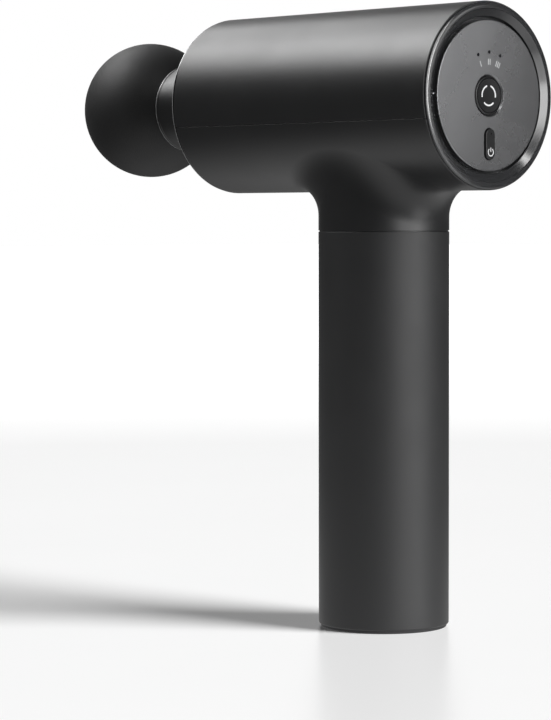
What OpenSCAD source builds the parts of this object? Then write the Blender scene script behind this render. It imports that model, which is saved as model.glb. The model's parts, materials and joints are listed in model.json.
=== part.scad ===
// Cordless massage gun: a horizontal drive barrel on an upright handle, with a ball head.
// The origin is the centre of the handle's foot. +X points to the ball head, +Z is up.
// Millimetres throughout.

/* [Barrel] */
// Height of the barrel's axis above the ground
barrel_axis_z = 203.5; // [202:0.5:208]
// Outer diameter of the barrel
barrel_d = 70.3; // [69.5:0.1:71]
// How far the barrel's rear rim is behind the handle's axis
barrel_back = 55.4; // [55.2:0.1:56]
// How far the barrel's front edge is ahead of the handle's axis
barrel_front = 84; // [83.8:0.1:84.4]
// Wall thickness of the housing shells
wall = 2.2; // [2:0.1:2.4]
// Height of the housing's parting line, measured from the barrel's axis
parting_z = -9.15; // [-9.5:0.05:-8.8]

/* [Handle] */
// Outer diameter of the handle
handle_d = 50.5; // [50:0.1:51.4]
// Height of the seam between the handle and the neck
neck_seam_z = 153.2; // [150:0.5:155]
// Radius of the blend between the neck and the barrel, in front of and behind the neck
neck_fillet = 13; // [9:0.5:14]
// Radius of the same blend at the barrel's sides
side_fillet = 26; // [14:0.5:28]
// Thickness of the rubber foot
foot_t = 1.2; // [1:0.1:1.6]

/* [Massage head] */
// Diameter of the ball
ball_d = 55.8; // [50:0.2:60]
// Position of the ball's centre along the barrel
ball_x = 136.8; // [135:0.2:140]
// Diameter of the cup that holds the ball
cup_d = 34.6; // [32:0.2:36]
// Front edge of the cup
cup_x = 114; // [113:0.1:115]
// Diameter of the stem that plugs into the piston
stem_d = 16; // [14:0.2:16]

/* [Drive] */
// Stroke of the massage head
stroke = 12; // [10:0.5:12]
// Distance between the connecting rod's two eyes
rod_length = 36; // [35:0.5:37]
// Outer diameter of the piston
piston_d = 22; // [21:0.2:22]
// Outer diameter of the crank wheel
crank_d = 40; // [36:0.5:40]
// Outer diameter of the motor's rotor
rotor_d = 40.4; // [39:0.2:40.6]

/* [Control panel] */
// Diameter of the control panel
panel_d = 56.2; // [56:0.1:57.2]
// Diameter of the hole for the speed button
speed_hole_d = 14.8; // [13:0.2:15.4]
// Length of the slot for the power key
power_slot_l = 12; // [11:0.2:12.4]
// Width of the slot for the power key
power_slot_w = 5.3; // [5.1:0.02:5.8]
// Gap around the buttons
button_gap = 0.2; // [0.15:0.05:0.35]
// Travel of the buttons
button_travel = 0.5; // [0.3:0.1:0.5]

/* [Battery] */
// Diameter of a battery cell
cell_d = 18.4; // [18:0.1:18.6]
// Length of a battery cell
cell_l = 65; // [64:0.5:66]

/* [Hidden] */

barrel_r = barrel_d / 2;
handle_r = handle_d / 2;
ball_r = ball_d / 2;
cup_r = cup_d / 2;
stem_r = stem_d / 2;
piston_r = piston_d / 2;
crank_r = crank_d / 2;
rotor_r = rotor_d / 2;
panel_r = panel_d / 2;
speed_hole_r = speed_hole_d / 2;
cell_r = cell_d / 2;
bore_r = barrel_r - wall;
eps = 0.01;

// Along the barrel
shell_back = -(barrel_back - 1.1);
shell_front = barrel_front - 1.4;
cap_back = barrel_front - 1.1;
plate_back = barrel_front - 4.2;
plate_front = plate_back + 2.4;
panel_face = -(barrel_back - 0.7);
panel_back = panel_face + 2.6;
ledge_face = panel_back + 0.3;
ledge_back = ledge_face + 2.2;
board_face = -46;
board_t = 1.6;
parting_gap = 0.2;

// Marks and holes of the panel
mark_r = 12.5;
light_r = 16.1;
mark_step = 22;
post_r = 18;
post_angles = [65, 130, 230, 295];
boss_r = 25.5;
boss_angles = [50, 130, 230, 310];
front_angles = [50, 160, 200, 310];
power_z = -18.05;
power_push_z = -15;

// Drive: the crank turns about Z, and the rod and piston move in the plane through the axis
crank_pin_x = -stroke / 2;
wrist_x = crank_pin_x + rod_length;
piston_back = wrist_x - 6;
piston_front = barrel_front + 2;
socket_back = piston_front - 26;
sleeve_back = wrist_x + 8;
sleeve_front = barrel_front - 2;
sleeve_r = piston_r + 4;
frame_top = -15.5;
frame_t = 3;
frame_back = -26;
frame_front = 78;
frame_w = 44;
saddle_x = [46, 72];
saddle_t = 6;
damper_at = [[-20, -17], [-20, 17], [66, -17], [66, 17]];
clamp_y = 19.6;
motor_screw_angles = [30, 150, 270];

// Handle
handle_top = neck_seam_z - 0.2;
neck_bottom = neck_seam_z + 0.2;
inner_r = handle_r - 2.05;
spigot_r = inner_r - 0.1;
cell_ring = 10.63;
cell_z = 20;
cell_top = cell_z + cell_l;
board_z = 96;
board_h = 42;
port_x = 12;
base_angles = [60, 180, 300];

// Moves a shape from the barrel's axis to its real height
module at_axis() {
    translate([0, 0, barrel_axis_z]) children();
}

// A shape turned so that its local Z runs along the barrel towards the head
module along_barrel(x = 0) {
    translate([x, 0, barrel_axis_z]) rotate([0, 90, 0]) children();
}

// A shape on the rear face: local Z points backwards, local X is up and local Y is +Y
module on_back(x) {
    translate([x, 0, barrel_axis_z]) rotate([0, -90, 0]) children();
}

module ring(r_out, r_in, h) {
    difference() {
        cylinder(r = r_out, h = h, $fn = 96);
        translate([0, 0, -1]) cylinder(r = r_in, h = h + 2, $fn = 96);
    }
}

// A round-ended bar, long along X, centred on the origin in the plane
module capsule(length, width, h) {
    reach = (length - width) / 2;
    for (side = [-1, 1]) translate([side * reach, 0, 0]) cylinder(r = width / 2, h = h, $fn = 48);
    translate([-reach, -width / 2, 0]) cube([2 * reach, width, h]);
}

// A countersunk screw: its head's top is at z = 0 and its shank runs down
module flat_screw(length, shank_r, head_r) {
    head_h = head_r - shank_r;
    difference() {
        union() {
            translate([0, 0, -head_h]) cylinder(r1 = shank_r, r2 = head_r, h = head_h, $fn = 32);
            translate([0, 0, -length]) cylinder(r = shank_r, h = length - head_h + eps, $fn = 32);
        }
        translate([0, 0, -0.6]) cylinder(r = shank_r * 0.7, h = 1, $fn = 6);
    }
}

// The hole that a countersunk screw sits in
module flat_screw_hole(length, shank_r, head_r) {
    head_h = head_r - shank_r;
    translate([0, 0, -head_h]) cylinder(r1 = shank_r, r2 = head_r, h = head_h, $fn = 32);
    translate([0, 0, -length]) cylinder(r = shank_r, h = length - head_h + eps, $fn = 32);
    translate([0, 0, -eps]) cylinder(r = head_r, h = 2, $fn = 32);
}

// A pan-head screw: the head's underside is at z = 0 and its shank runs down
module pan_screw(length, shank_r, head_r, head_h) {
    difference() {
        union() {
            cylinder(r = head_r, h = head_h, $fn = 32);
            translate([0, 0, -length]) cylinder(r = shank_r, h = length + eps, $fn = 32);
        }
        translate([0, 0, head_h * 0.4]) cylinder(r = shank_r * 0.8, h = head_h, $fn = 6);
    }
}

// ---- Neck blend -------------------------------------------------------------------------
// The blend follows a ball that rolls round the neck (radius rh) while it touches the barrel
// (radius rb). The ball is larger at the barrel's sides than in front and behind, and extra
// adds a wall to it. t runs from 0 at the neck to 1 at the barrel.
function blend_radius(a, extra) = neck_fillet + (side_fillet - neck_fillet) * sin(a) ^ 2 + extra;
function ball_centre(a, rb, rh, rf) =
    [(rh + rf) * cos(a), (rh + rf) * sin(a), -sqrt((rb + rf) ^ 2 - ((rh + rf) * sin(a)) ^ 2)];

function blend_point(a, t, rb, rh, extra) =
    let (rf = blend_radius(a, extra),
         c = ball_centre(a, rb, rh, rf),
         u = [-cos(a), -sin(a), 0],
         v = [0, -c.y, -c.z] / (rb + rf),
         w = acos(u * v),
         d = (u * sin((1 - t) * w) + v * sin(t * w)) / sin(w))
    c + rf * d;

// The solid neck below the barrel's axis, from the seam up into the barrel
module neck_solid(rb, rh, extra, bottom, sides = 72, steps = 9) {
    inside_z = -14;
    angles = [for (i = [0 : sides - 1]) i * 360 / sides];
    base = [for (a = angles) [rh * cos(a), rh * sin(a), bottom]];
    blend = [for (k = [0 : steps]) for (a = angles) blend_point(a, k / steps, rb, rh, extra)];
    top = [for (a = angles)
        let (p = blend_point(a, 1, rb, rh, extra)) [p.x * 0.97, p.y * 0.9, inside_z]];
    rings = steps + 3;
    sides_faces = [for (k = [0 : rings - 2]) for (i = [0 : sides - 1])
        let (j = (i + 1) % sides, lo = k * sides, hi = lo + sides)
        each [[lo + i, hi + i, lo + j], [lo + j, hi + i, hi + j]]];
    polyhedron(
        points = concat(base, blend, top),
        faces = concat([[for (i = [0 : sides - 1]) i]], sides_faces,
            [[for (i = [sides - 1 : -1 : 0]) (rings - 1) * sides + i]]),
        convexity = 6
    );
}

// A tube that sweeps along a list of points
function unit(v) = v / norm(v);
function heading(path, i) = unit(path[min(i + 1, len(path) - 1)] - path[max(i - 1, 0)]);

module swept_wire(path, r, sides = 8) {
    n = len(path);
    points = [for (i = [0 : n - 1])
        let (t = heading(path, i), s = unit(cross(t, [0.3, 1, 0.2])), w = cross(t, s))
        for (k = [0 : sides - 1]) path[i] + r * (cos(k * 360 / sides) * s + sin(k * 360 / sides) * w)];
    skin = [for (i = [0 : n - 2]) for (k = [0 : sides - 1])
        let (j = (k + 1) % sides, lo = i * sides, hi = lo + sides)
        each [[lo + k, lo + j, hi + k], [lo + j, hi + j, hi + k]]];
    polyhedron(
        points = points,
        faces = concat([[for (k = [sides - 1 : -1 : 0]) k]], skin,
            [[for (k = [0 : sides - 1]) (n - 1) * sides + k]]),
        convexity = 4
    );
}

// A smooth curve through control points, with a given number of pieces for each span
function spline_point(p, i, t) =
    let (a = p[max(i - 1, 0)], b = p[i], c = p[i + 1], d = p[min(i + 2, len(p) - 1)])
    0.5 * (2 * b + (c - a) * t + (2 * a - 5 * b + 4 * c - d) * t ^ 2 + (3 * b - a - 3 * c + d) * t ^ 3);
function spline(p, pieces = 3) =
    concat([for (i = [0 : len(p) - 2]) for (k = [0 : pieces - 1]) spline_point(p, i, k / pieces)],
        [p[len(p) - 1]]);

// ---- Housing ----------------------------------------------------------------------------
module upper_housing() {
    color("#2b2c2e") difference() {
        union() {
            difference() {
                along_barrel(shell_back) ring(barrel_r, bore_r, shell_front - shell_back);
                translate([-100, -50, barrel_axis_z + parting_z + parting_gap / 2 - 100])
                    cube([300, 100, 100]);
            }
            for (a = [boss_angles[0], boss_angles[3]]) rear_boss(a);
            for (a = [front_angles[0], front_angles[3]]) front_boss(a);
        }
        for (a = [boss_angles[0], boss_angles[3]]) rear_boss_hole(a);
        for (a = [front_angles[0], front_angles[3]]) front_boss_hole(a);
    }
}

// Screw bosses inside the barrel's two ends, each on a rib; a is the angle from straight up
module rib_boss(x, length, a) {
    translate([x, 0, barrel_axis_z]) rotate([-a, 0, 0]) {
        translate([0, 0, boss_r]) rotate([0, 90, 0]) cylinder(r = 3.4, h = length, $fn = 48);
        translate([0, -1.2, boss_r]) cube([length, 2.4, barrel_r - 1.2 - boss_r]);
    }
}
module rib_boss_hole(x, length, a) {
    translate([x, 0, barrel_axis_z]) rotate([-a, 0, 0])
        translate([0, 0, boss_r]) rotate([0, 90, 0]) cylinder(r = 1.05, h = length, $fn = 32);
}
module rear_boss(a) { rib_boss(ledge_back, 9, a); }
module rear_boss_hole(a) { rib_boss_hole(ledge_back - 1, 8, a); }
module front_boss(a) { rib_boss(plate_back - 9, 9, a); }
module front_boss_hole(a) { rib_boss_hole(plate_back - 7, 8, a); }

module lower_housing() {
    color("#2b2c2e") render() difference() {
        union() {
            difference() {
                lower_outer();
                along_barrel(shell_back - 1)
                    cylinder(r = bore_r, h = shell_front - shell_back + 2, $fn = 144);
                at_axis() neck_solid(bore_r, handle_r - wall, wall,
                    neck_bottom - barrel_axis_z - 1);
            }
            housing_lip();
            handle_spigot();
            for (a = [boss_angles[1], boss_angles[2]]) rear_boss(a);
            for (a = [front_angles[1], front_angles[2]]) front_boss(a);
            intersection() {
                lower_outer();
                for (p = damper_at) damper_post(p);
            }
        }
        for (a = [boss_angles[1], boss_angles[2]]) rear_boss_hole(a);
        for (a = [front_angles[1], front_angles[2]]) front_boss_hole(a);
        for (p = damper_at) translate([p.x, p.y, barrel_axis_z - 27.5])
            cylinder(r = 1.05, h = 10, $fn = 24);
    }
}

// The lower shell's outside: the barrel below the parting line, blended into the neck
module lower_outer() {
    top = barrel_axis_z + parting_z - parting_gap / 2;
    intersection() {
        along_barrel(shell_back) cylinder(r = barrel_r, h = shell_front - shell_back, $fn = 144);
        translate([-100, -50, top - 100]) cube([300, 100, 100]);
    }
    at_axis() neck_solid(barrel_r, handle_r, 0, neck_bottom - barrel_axis_z);
}

// A lip along both sides of the lower shell, which locates the upper one
module housing_lip() {
    x0 = -40;
    length = 106;
    lip_t = 1.3;
    lip_r = bore_r - 0.1;
    top = parting_z - parting_gap / 2;
    for (span = [[lip_r, 1.8], [lip_r + 0.6, -0.2]]) intersection() {
        along_barrel(x0) difference() {
            cylinder(r = span[0], h = length, $fn = 144);
            translate([0, 0, -1]) cylinder(r = lip_r - lip_t, h = length + 2, $fn = 144);
        }
        translate([x0 - 1, -50, barrel_axis_z + top - 2]) cube([length + 2, 100, 2 + span[1]]);
    }
}

// The tube below the seam that the handle slides over, with four snap ridges
module handle_spigot() {
    depth = 12;
    shoulder = 2;
    translate([0, 0, neck_bottom - depth]) ring(spigot_r, spigot_r - 2, depth + shoulder);
    translate([0, 0, neck_bottom]) ring(handle_r - 1, spigot_r - 2, shoulder);
    for (a = [45 : 90 : 315]) rotate([0, 0, a]) snap_ridge(neck_bottom - depth + 4);
}
module snap_ridge(z) {
    hull() for (s = [-1, 1]) translate([spigot_r - 0.8, s * 4, z]) sphere(r = 0.6, $fn = 12);
}

// A pillar that carries one rubber damper
module damper_post(p) {
    at_axis() hull() {
        translate([p.x, p.y, frame_top - frame_t - 3.2]) cylinder(r = 3, h = 0.2, $fn = 32);
        translate([p.x, p.y, -34]) cylinder(r = 3.4, h = 0.2, $fn = 32);
    }
}

module rear_bezel() {
    lip_w = 2;
    lip_h = 0.9;
    crest_r = barrel_r - 2.45;
    groove_r = 29.5;
    lip = [for (a = [0 : 10 : 90])
        [crest_r + lip_w * cos(a), -(barrel_back - lip_h) - lip_h * sin(a)]];
    color("#2b2c2e") difference() {
        along_barrel() rotate_extrude($fn = 128) polygon(concat(
            lip,
            [[groove_r, -(barrel_back - 1.6)],
             [groove_r, ledge_face],
             [21.8, ledge_face],
             [21.8, ledge_back],
             [30.4, ledge_back],
             [30.4, shell_back + 6],
             [bore_r - 0.1, shell_back + 6],
             [bore_r - 0.1, shell_back - 0.2]]
        ));
        for (a = boss_angles) bezel_screw_place(a) flat_screw_hole(6, 1.15, 2.1);
        translate([ledge_face - 1, -5, barrel_axis_z - 27]) cube([4, 10, 14]);
        for (a = boss_angles) rib_clearance(a);
    }
}
// Cuts the bezel's spigot back where a housing boss and its rib pass it
module rib_clearance(a) {
    translate([ledge_back, 0, barrel_axis_z]) rotate([-a, 0, 0])
        translate([0, -3.7, boss_r - 4]) cube([12, 7.4, 12]);
}
module bezel_screw_place(a) {
    translate([ledge_face, 0, barrel_axis_z]) rotate([-a, 0, 0])
        translate([0, 0, boss_r]) rotate([0, -90, 0]) children();
}

module bezel_screws() {
    color("#8d9196") for (a = boss_angles) bezel_screw_place(a) flat_screw(8, 1, 1.95);
}

module control_panel() {
    edge = 0.3;
    slot_depth = 5;
    color("#606265") difference() {
        union() {
            on_back(panel_back) cylinder(r = panel_r, h = 2.6 - edge, $fn = 96);
            on_back(panel_face + edge)
                cylinder(r1 = panel_r, r2 = panel_r - edge, h = edge, $fn = 96);
            on_back(ledge_face) ring(27.6, 26.6, ledge_face - panel_back + eps);
            for (a = post_angles) on_back(board_face) rotate([0, 0, a])
                translate([post_r, 0, 0]) cylinder(r = 2.2, h = board_face - panel_back + 0.1, $fn = 32);
        }
        on_back(panel_back + 1) cylinder(r = speed_hole_r, h = slot_depth, $fn = 64);
        on_back(panel_face + 0.55)
            cylinder(r1 = speed_hole_r, r2 = speed_hole_r + 0.55, h = 0.55 + eps, $fn = 64);
        on_back(panel_back + 1) translate([power_z, 0, 0])
            capsule(power_slot_l, power_slot_w, slot_depth);
        for (k = [-1 : 1]) on_back(panel_back + 1) rotate([0, 0, k * mark_step])
            translate([light_r, 0, 0]) cylinder(r = 0.65, h = slot_depth, $fn = 24);
        on_back(panel_face + 0.2) mark_strokes(0.3);
        for (a = post_angles) on_back(board_face + 1) rotate([0, 0, a])
            translate([post_r, 0, 0]) cylinder(r = 0.85, h = 5, $fn = 24);
    }
}

// The strokes of the three speed marks: one, two and three bars, standing radially
module mark_strokes(h) {
    stroke_l = 2.2;
    stroke_w = 0.38;
    pitch = 0.92;
    for (k = [-1 : 1]) rotate([0, 0, k * mark_step]) for (i = [0 : 1 - k])
        translate([mark_r - stroke_l / 2, (i - (1 - k) / 2) * pitch - stroke_w / 2, 0])
            cube([stroke_l, stroke_w, h]);
}

module speed_marks() {
    color("#d8d9da") on_back(panel_face + 0.2) mark_strokes(0.22);
}

module light_pipes() {
    color("#15161a") for (k = [-1 : 1]) on_back(board_face - 0.7) rotate([0, 0, k * mark_step])
        translate([light_r, 0, 0]) cylinder(r = 0.62, h = -panel_face + board_face - 0.7 + 0.05, $fn = 24);
}

module control_board() {
    color("#1f5a3a") {
        difference() {
            on_back(board_face + board_t) cylinder(r = 20.4, h = board_t, $fn = 72);
            for (a = post_angles) on_back(board_face + board_t + 1) rotate([0, 0, a])
                translate([post_r, 0, 0]) cylinder(r = 1.1, h = board_t + 2, $fn = 24);
        }
        // the chip, the lamps and the cable socket
        for (k = [-1 : 1]) on_back(board_face) rotate([0, 0, k * mark_step])
            translate([light_r - 0.8, -0.4, 0]) cube([1.6, 0.8, 0.6]);
        translate([board_face + board_t, -4, barrel_axis_z + 3]) cube([1.2, 8, 8]);
        translate([board_face + board_t, -5, barrel_axis_z - 12]) cube([3, 10, 5]);
    }
}

module tact_switches() {
    size = 6;
    body_h = 3.2;
    color("#b9bcc0") for (z = [0, power_push_z]) on_back(board_face) translate([z, 0, 0]) {
        translate([-size / 2, -size / 2, 0]) cube([size, size, body_h]);
        cylinder(r = 1.7, h = body_h + 0.6, $fn = 32);
    }
}

module board_screws() {
    color("#8d9196") for (a = post_angles) translate([board_face + board_t, 0, barrel_axis_z])
        rotate([-a, 0, 0]) translate([0, 0, post_r]) rotate([0, 90, 0]) pan_screw(5, 0.8, 1.8, 1.2);
}

module front_plate() {
    color("#3a3b3d") difference() {
        along_barrel(plate_back) ring(30, sleeve_r + 0.3, plate_front - plate_back);
        for (a = front_angles) plate_screw_place(a) flat_screw_hole(6, 1.15, 2.1);
    }
}
module plate_screw_place(a) {
    translate([plate_front, 0, barrel_axis_z]) rotate([-a, 0, 0])
        translate([0, 0, boss_r]) rotate([0, 90, 0]) children();
}
module plate_screws() {
    color("#8d9196") for (a = front_angles) plate_screw_place(a) flat_screw(8, 1, 1.95);
}

module front_cap() {
    rim_r = barrel_r - 0.3;
    round_r = 0.5;
    spigot_out = bore_r - 0.15;
    color("#2a2b2d") along_barrel() rotate_extrude($fn = 128) polygon(concat(
        [[sleeve_r, plate_front + 0.1], [spigot_out - 2.2, plate_front + 0.1],
         [spigot_out - 2.2, plate_back], [spigot_out, plate_back], [spigot_out, cap_back],
         [rim_r, cap_back]],
        [for (a = [0 : 15 : 90])
            [rim_r - round_r + round_r * cos(a), barrel_front - round_r + round_r * sin(a)]],
        [[sleeve_r, barrel_front]]
    ));
}

module nose_seal() {
    lip_r = piston_r + 0.4;
    color("#1a1a1b") along_barrel() rotate_extrude($fn = 96) polygon([
        [lip_r, sleeve_front + 0.6], [lip_r, barrel_front + 1], [lip_r + 0.8, barrel_front + 1.6],
        [sleeve_r + 2, barrel_front + 0.8], [sleeve_r + 2, barrel_front], [sleeve_r, barrel_front],
        [sleeve_r, sleeve_front + 0.2], [lip_r + 1.4, sleeve_front + 0.2]
    ]);
}

// ---- Drive frame ------------------------------------------------------------------------
module drive_frame() {
    floor_z = frame_top - frame_t;
    color("#9aa0a6") difference() {
        union() {
            at_axis() translate([frame_back, -frame_w / 2, floor_z])
                cube([frame_front - frame_back, frame_w, frame_t]);
            for (x = saddle_x) at_axis() translate([x, -frame_w / 2, frame_top - eps])
                cube([saddle_t, frame_w, -frame_top + eps]);
        }
        along_barrel(saddle_x[0] - 2) cylinder(r = sleeve_r, h = 40, $fn = 96);
        at_axis() translate([0, 0, floor_z - 1]) cylinder(r = 7, h = 2.5, $fn = 64);
        at_axis() translate([0, 0, floor_z - 1]) cylinder(r = 5.5, h = 6, $fn = 64);
        for (a = motor_screw_angles) motor_screw_place(a) flat_screw_hole(5, 1.3, 2.6);
        for (p = damper_at) at_axis() translate([p.x, p.y, floor_z - 1])
            cylinder(r = 1.6, h = 6, $fn = 32);
        for (x = saddle_x) for (s = [-1, 1]) at_axis() translate([x + saddle_t / 2, s * clamp_y, -9])
            cylinder(r = 1, h = 10, $fn = 24);
    }
}
module motor_screw_place(a) {
    at_axis() rotate([0, 0, a]) translate([12.5, 0, frame_top]) children();
}

module frame_dampers() {
    color("#202021") for (p = damper_at) at_axis() translate([p.x, p.y, frame_top - frame_t - 3])
        ring(4, 1.6, 3);
}

module frame_screws() {
    color("#8d9196") for (p = damper_at) at_axis() translate([p.x, p.y, frame_top])
        pan_screw(10.5, 1, 2.4, 1.3);
}

module guide_sleeve() {
    color("#a9adb2") along_barrel(sleeve_back) ring(sleeve_r, piston_r + 1.5, sleeve_front - sleeve_back);
}

module guide_bush() {
    color("#e4e2da") along_barrel(sleeve_back)
        ring(piston_r + 1.5, piston_r + 0.05, sleeve_front - sleeve_back);
}

module sleeve_clamps() {
    strap_t = 3;
    color("#9aa0a6") for (x = saddle_x) difference() {
        union() {
            along_barrel(x) cylinder(r = sleeve_r + strap_t, h = saddle_t, $fn = 96);
            at_axis() translate([x, -frame_w / 2, 0.1]) cube([saddle_t, frame_w, strap_t]);
        }
        along_barrel(x - 1) cylinder(r = sleeve_r, h = saddle_t + 2, $fn = 96);
        at_axis() translate([x - 1, -50, 0.1 - 50]) cube([saddle_t + 2, 100, 50]);
        for (s = [-1, 1]) at_axis() translate([x + saddle_t / 2, s * clamp_y, -1])
            cylinder(r = 1.2, h = 10, $fn = 24);
    }
}

module clamp_screws() {
    color("#8d9196") for (x = saddle_x) for (s = [-1, 1])
        at_axis() translate([x + saddle_t / 2, s * clamp_y, 3.1]) pan_screw(9, 1, 1.5, 1.2);
}

// ---- Motor ------------------------------------------------------------------------------
module motor_base() {
    top = frame_top - frame_t;
    color("#c2c6ca") at_axis() difference() {
        union() {
            translate([0, 0, top - 3]) cylinder(r = 16, h = 3, $fn = 96);
            translate([0, 0, -36]) cylinder(r = 9.5, h = 36 + top - 1, $fn = 72);
        }
        translate([0, 0, -22]) cylinder(r = 7, h = 6, $fn = 64);
        translate([0, 0, -37]) cylinder(r = 7, h = 5.5, $fn = 64);
        translate([0, 0, -37]) cylinder(r = 5.5, h = 20, $fn = 64);
        for (a = motor_screw_angles) rotate([0, 0, a]) translate([12.5, 0, top - 4])
            cylinder(r = 1.3, h = 6, $fn = 24);
        for (a = [-25, 0, 25]) rotate([0, 0, a]) translate([14.9, 0, top - 4])
            cylinder(r = 1.3, h = 6, $fn = 24);
    }
}

module motor_screws() {
    color("#8d9196") for (a = motor_screw_angles) motor_screw_place(a) flat_screw(5.5, 1.2, 2.5);
}

bearing_z = [-22, -36.2];
bearing_h = 4.4;

module bearing_outer_races() {
    color("#b4b8bd") for (z = bearing_z) at_axis() translate([0, 0, z]) ring(7, 6.3, bearing_h);
}
module bearing_inner_races() {
    color("#b4b8bd") for (z = bearing_z) at_axis() translate([0, 0, z]) ring(4.7, 4, bearing_h);
}
module bearing_balls() {
    count = 9;
    color("#d5d8db") for (z = bearing_z) for (i = [0 : count - 1])
        at_axis() rotate([0, 0, i * 360 / count]) translate([5.5, 0, z + bearing_h / 2])
            sphere(r = 0.76, $fn = 24);
}

teeth = 12;
module stator() {
    color("#5b5f66") at_axis() translate([0, 0, -34]) linear_extrude(10) union() {
        difference() {
            circle(r = 11.6, $fn = 72);
            circle(r = 9.5, $fn = 72);
        }
        for (i = [0 : teeth - 1]) rotate(i * 360 / teeth) {
            translate([11, -1.1]) square([4.9, 2.2]);
            intersection() {
                difference() {
                    circle(r = rotor_r - 3.4, $fn = 72);
                    circle(r = rotor_r - 4.6, $fn = 72);
                }
                translate([14, -3.2]) square([5, 6.4]);
            }
        }
    }
}

module windings() {
    color("#b06a32") at_axis() for (i = [0 : teeth - 1]) rotate([0, 0, i * 360 / teeth])
        difference() {
            translate([12, -2, -35.6]) cube([3.1, 4, 13.4]);
            translate([11, -1.1, -34]) cube([6, 2.2, 10]);
        }
}

module rotor_can() {
    wall_t = 1.4;
    end_t = 1.6;
    color("#c2c6ca") at_axis() difference() {
        translate([0, 0, -39 - end_t]) cylinder(r = rotor_r, h = 16.5 + end_t, $fn = 96);
        translate([0, 0, -39]) cylinder(r = rotor_r - wall_t, h = 20, $fn = 96);
        translate([0, 0, -39 - end_t - 1]) cylinder(r = 4, h = end_t + 2, $fn = 48);
        for (a = [30 : 60 : 330]) rotate([0, 0, a]) translate([11.5, 0, -39 - end_t - 1])
            cylinder(r = 2.6, h = end_t + 2, $fn = 32);
    }
}

module rotor_magnets() {
    count = 14;
    span = 22;
    color("#6a6e74") at_axis() for (i = [0 : count - 1]) rotate([0, 0, i * 360 / count])
        translate([0, 0, -35]) rotate_extrude(angle = span, $fn = 96)
            translate([rotor_r - 3, 0]) square([1.6, 11]);
}

module motor_shaft() {
    color("#aab0b6") at_axis() translate([0, 0, -41]) cylinder(r = 4, h = 35, $fn = 48);
}

module crank_wheel() {
    color("#8f949a") at_axis() difference() {
        translate([0, 0, -9]) cylinder(r = crank_r, h = 4, $fn = 96);
        translate([0, 0, -10]) cylinder(r = 4, h = 4, $fn = 48);
        for (s = [-1, 1]) translate([7, s * 11, -5]) flat_screw_hole(6, 1.6, 3);
        for (s = [-1, 1]) translate([-10, s * 11.5, -10]) cylinder(r = 2.6, h = 6, $fn = 32);
    }
}

module counterweight() {
    color("#a8904f") at_axis() difference() {
        translate([0, 0, -14]) cylinder(r = crank_r - 0.5, h = 5, $fn = 96);
        translate([0, 0, -15]) cylinder(r = 7.6, h = 7, $fn = 64);
        translate([-50, -30, -15]) cube([51, 60, 7]);
        for (s = [-1, 1]) translate([7, s * 11, -15]) cylinder(r = 1.5, h = 7, $fn = 24);
    }
}

module counterweight_screws() {
    color("#8d9196") at_axis() for (s = [-1, 1]) translate([7, s * 11, -5]) flat_screw(8, 1.5, 2.9);
}

// ---- Connecting rod and piston ----------------------------------------------------------
module connecting_rod() {
    eye_t = 7;
    color("#7d8288") at_axis() difference() {
        union() {
            translate([crank_pin_x, 0, -eye_t / 2]) cylinder(r = 12.2, h = eye_t, $fn = 72);
            translate([wrist_x, 0, -eye_t / 2]) cylinder(r = 6.5, h = eye_t, $fn = 48);
            translate([crank_pin_x + 10.5, -4, -2.5]) cube([rod_length - 14, 8, 5]);
        }
        translate([crank_pin_x, 0, -5]) cylinder(r = 9.5, h = 10, $fn = 72);
        translate([wrist_x, 0, -5]) cylinder(r = 4.2, h = 10, $fn = 48);
    }
}

module small_end_bush() {
    color("#b58a45") at_axis() translate([wrist_x, 0, -3.5]) ring(4.2, 3.05, 7);
}

module big_end_bearing() {
    h = 6;
    count = 9;
    color("#b4b8bd") at_axis() translate([crank_pin_x, 0, 0]) {
        translate([0, 0, -h / 2]) ring(9.5, 8.4, h);
        translate([0, 0, -h / 2]) ring(5.1, 4, h);
        for (i = [0 : count - 1]) rotate([0, 0, i * 360 / count]) translate([6.75, 0, 0])
            sphere(r = 1.62, $fn = 32);
    }
}

module crank_pin() {
    color("#aab0b6") at_axis() translate([crank_pin_x, 0, 0]) {
        translate([0, 0, -4.7]) cylinder(r = 4, h = 7.8, $fn = 48);
        translate([0, 0, 3.05]) cylinder(r = 5, h = 1.2, $fn = 48);
    }
}

module piston() {
    slot_h = 8.4;
    color("#9aa0a6") difference() {
        along_barrel(piston_back) cylinder(r = piston_r, h = piston_front - piston_back, $fn = 96);
        at_axis() translate([piston_back - 1, -20, -slot_h / 2]) cube([17, 40, slot_h]);
        at_axis() translate([wrist_x, 0, -20]) cylinder(r = 3, h = 40, $fn = 48);
        along_barrel(socket_back) cylinder(r = stem_r + 0.1, h = 40, $fn = 72);
        along_barrel(piston_front - 0.8)
            cylinder(r1 = stem_r + 0.1, r2 = stem_r + 0.9 + eps, h = 0.8 + eps, $fn = 72);
        along_barrel(socket_back - 14) cylinder(r = 5, h = 11, $fn = 48);
    }
}

module wrist_pin() {
    color("#aab0b6") at_axis() translate([wrist_x, 0, -9.5]) cylinder(r = 3, h = 19, $fn = 48);
}

// ---- Massage head -----------------------------------------------------------------------
o_ring_x = 71;
o_ring_wire_r = 0.6;
groove_depth = 1.2;
groove_half = 0.75;

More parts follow.
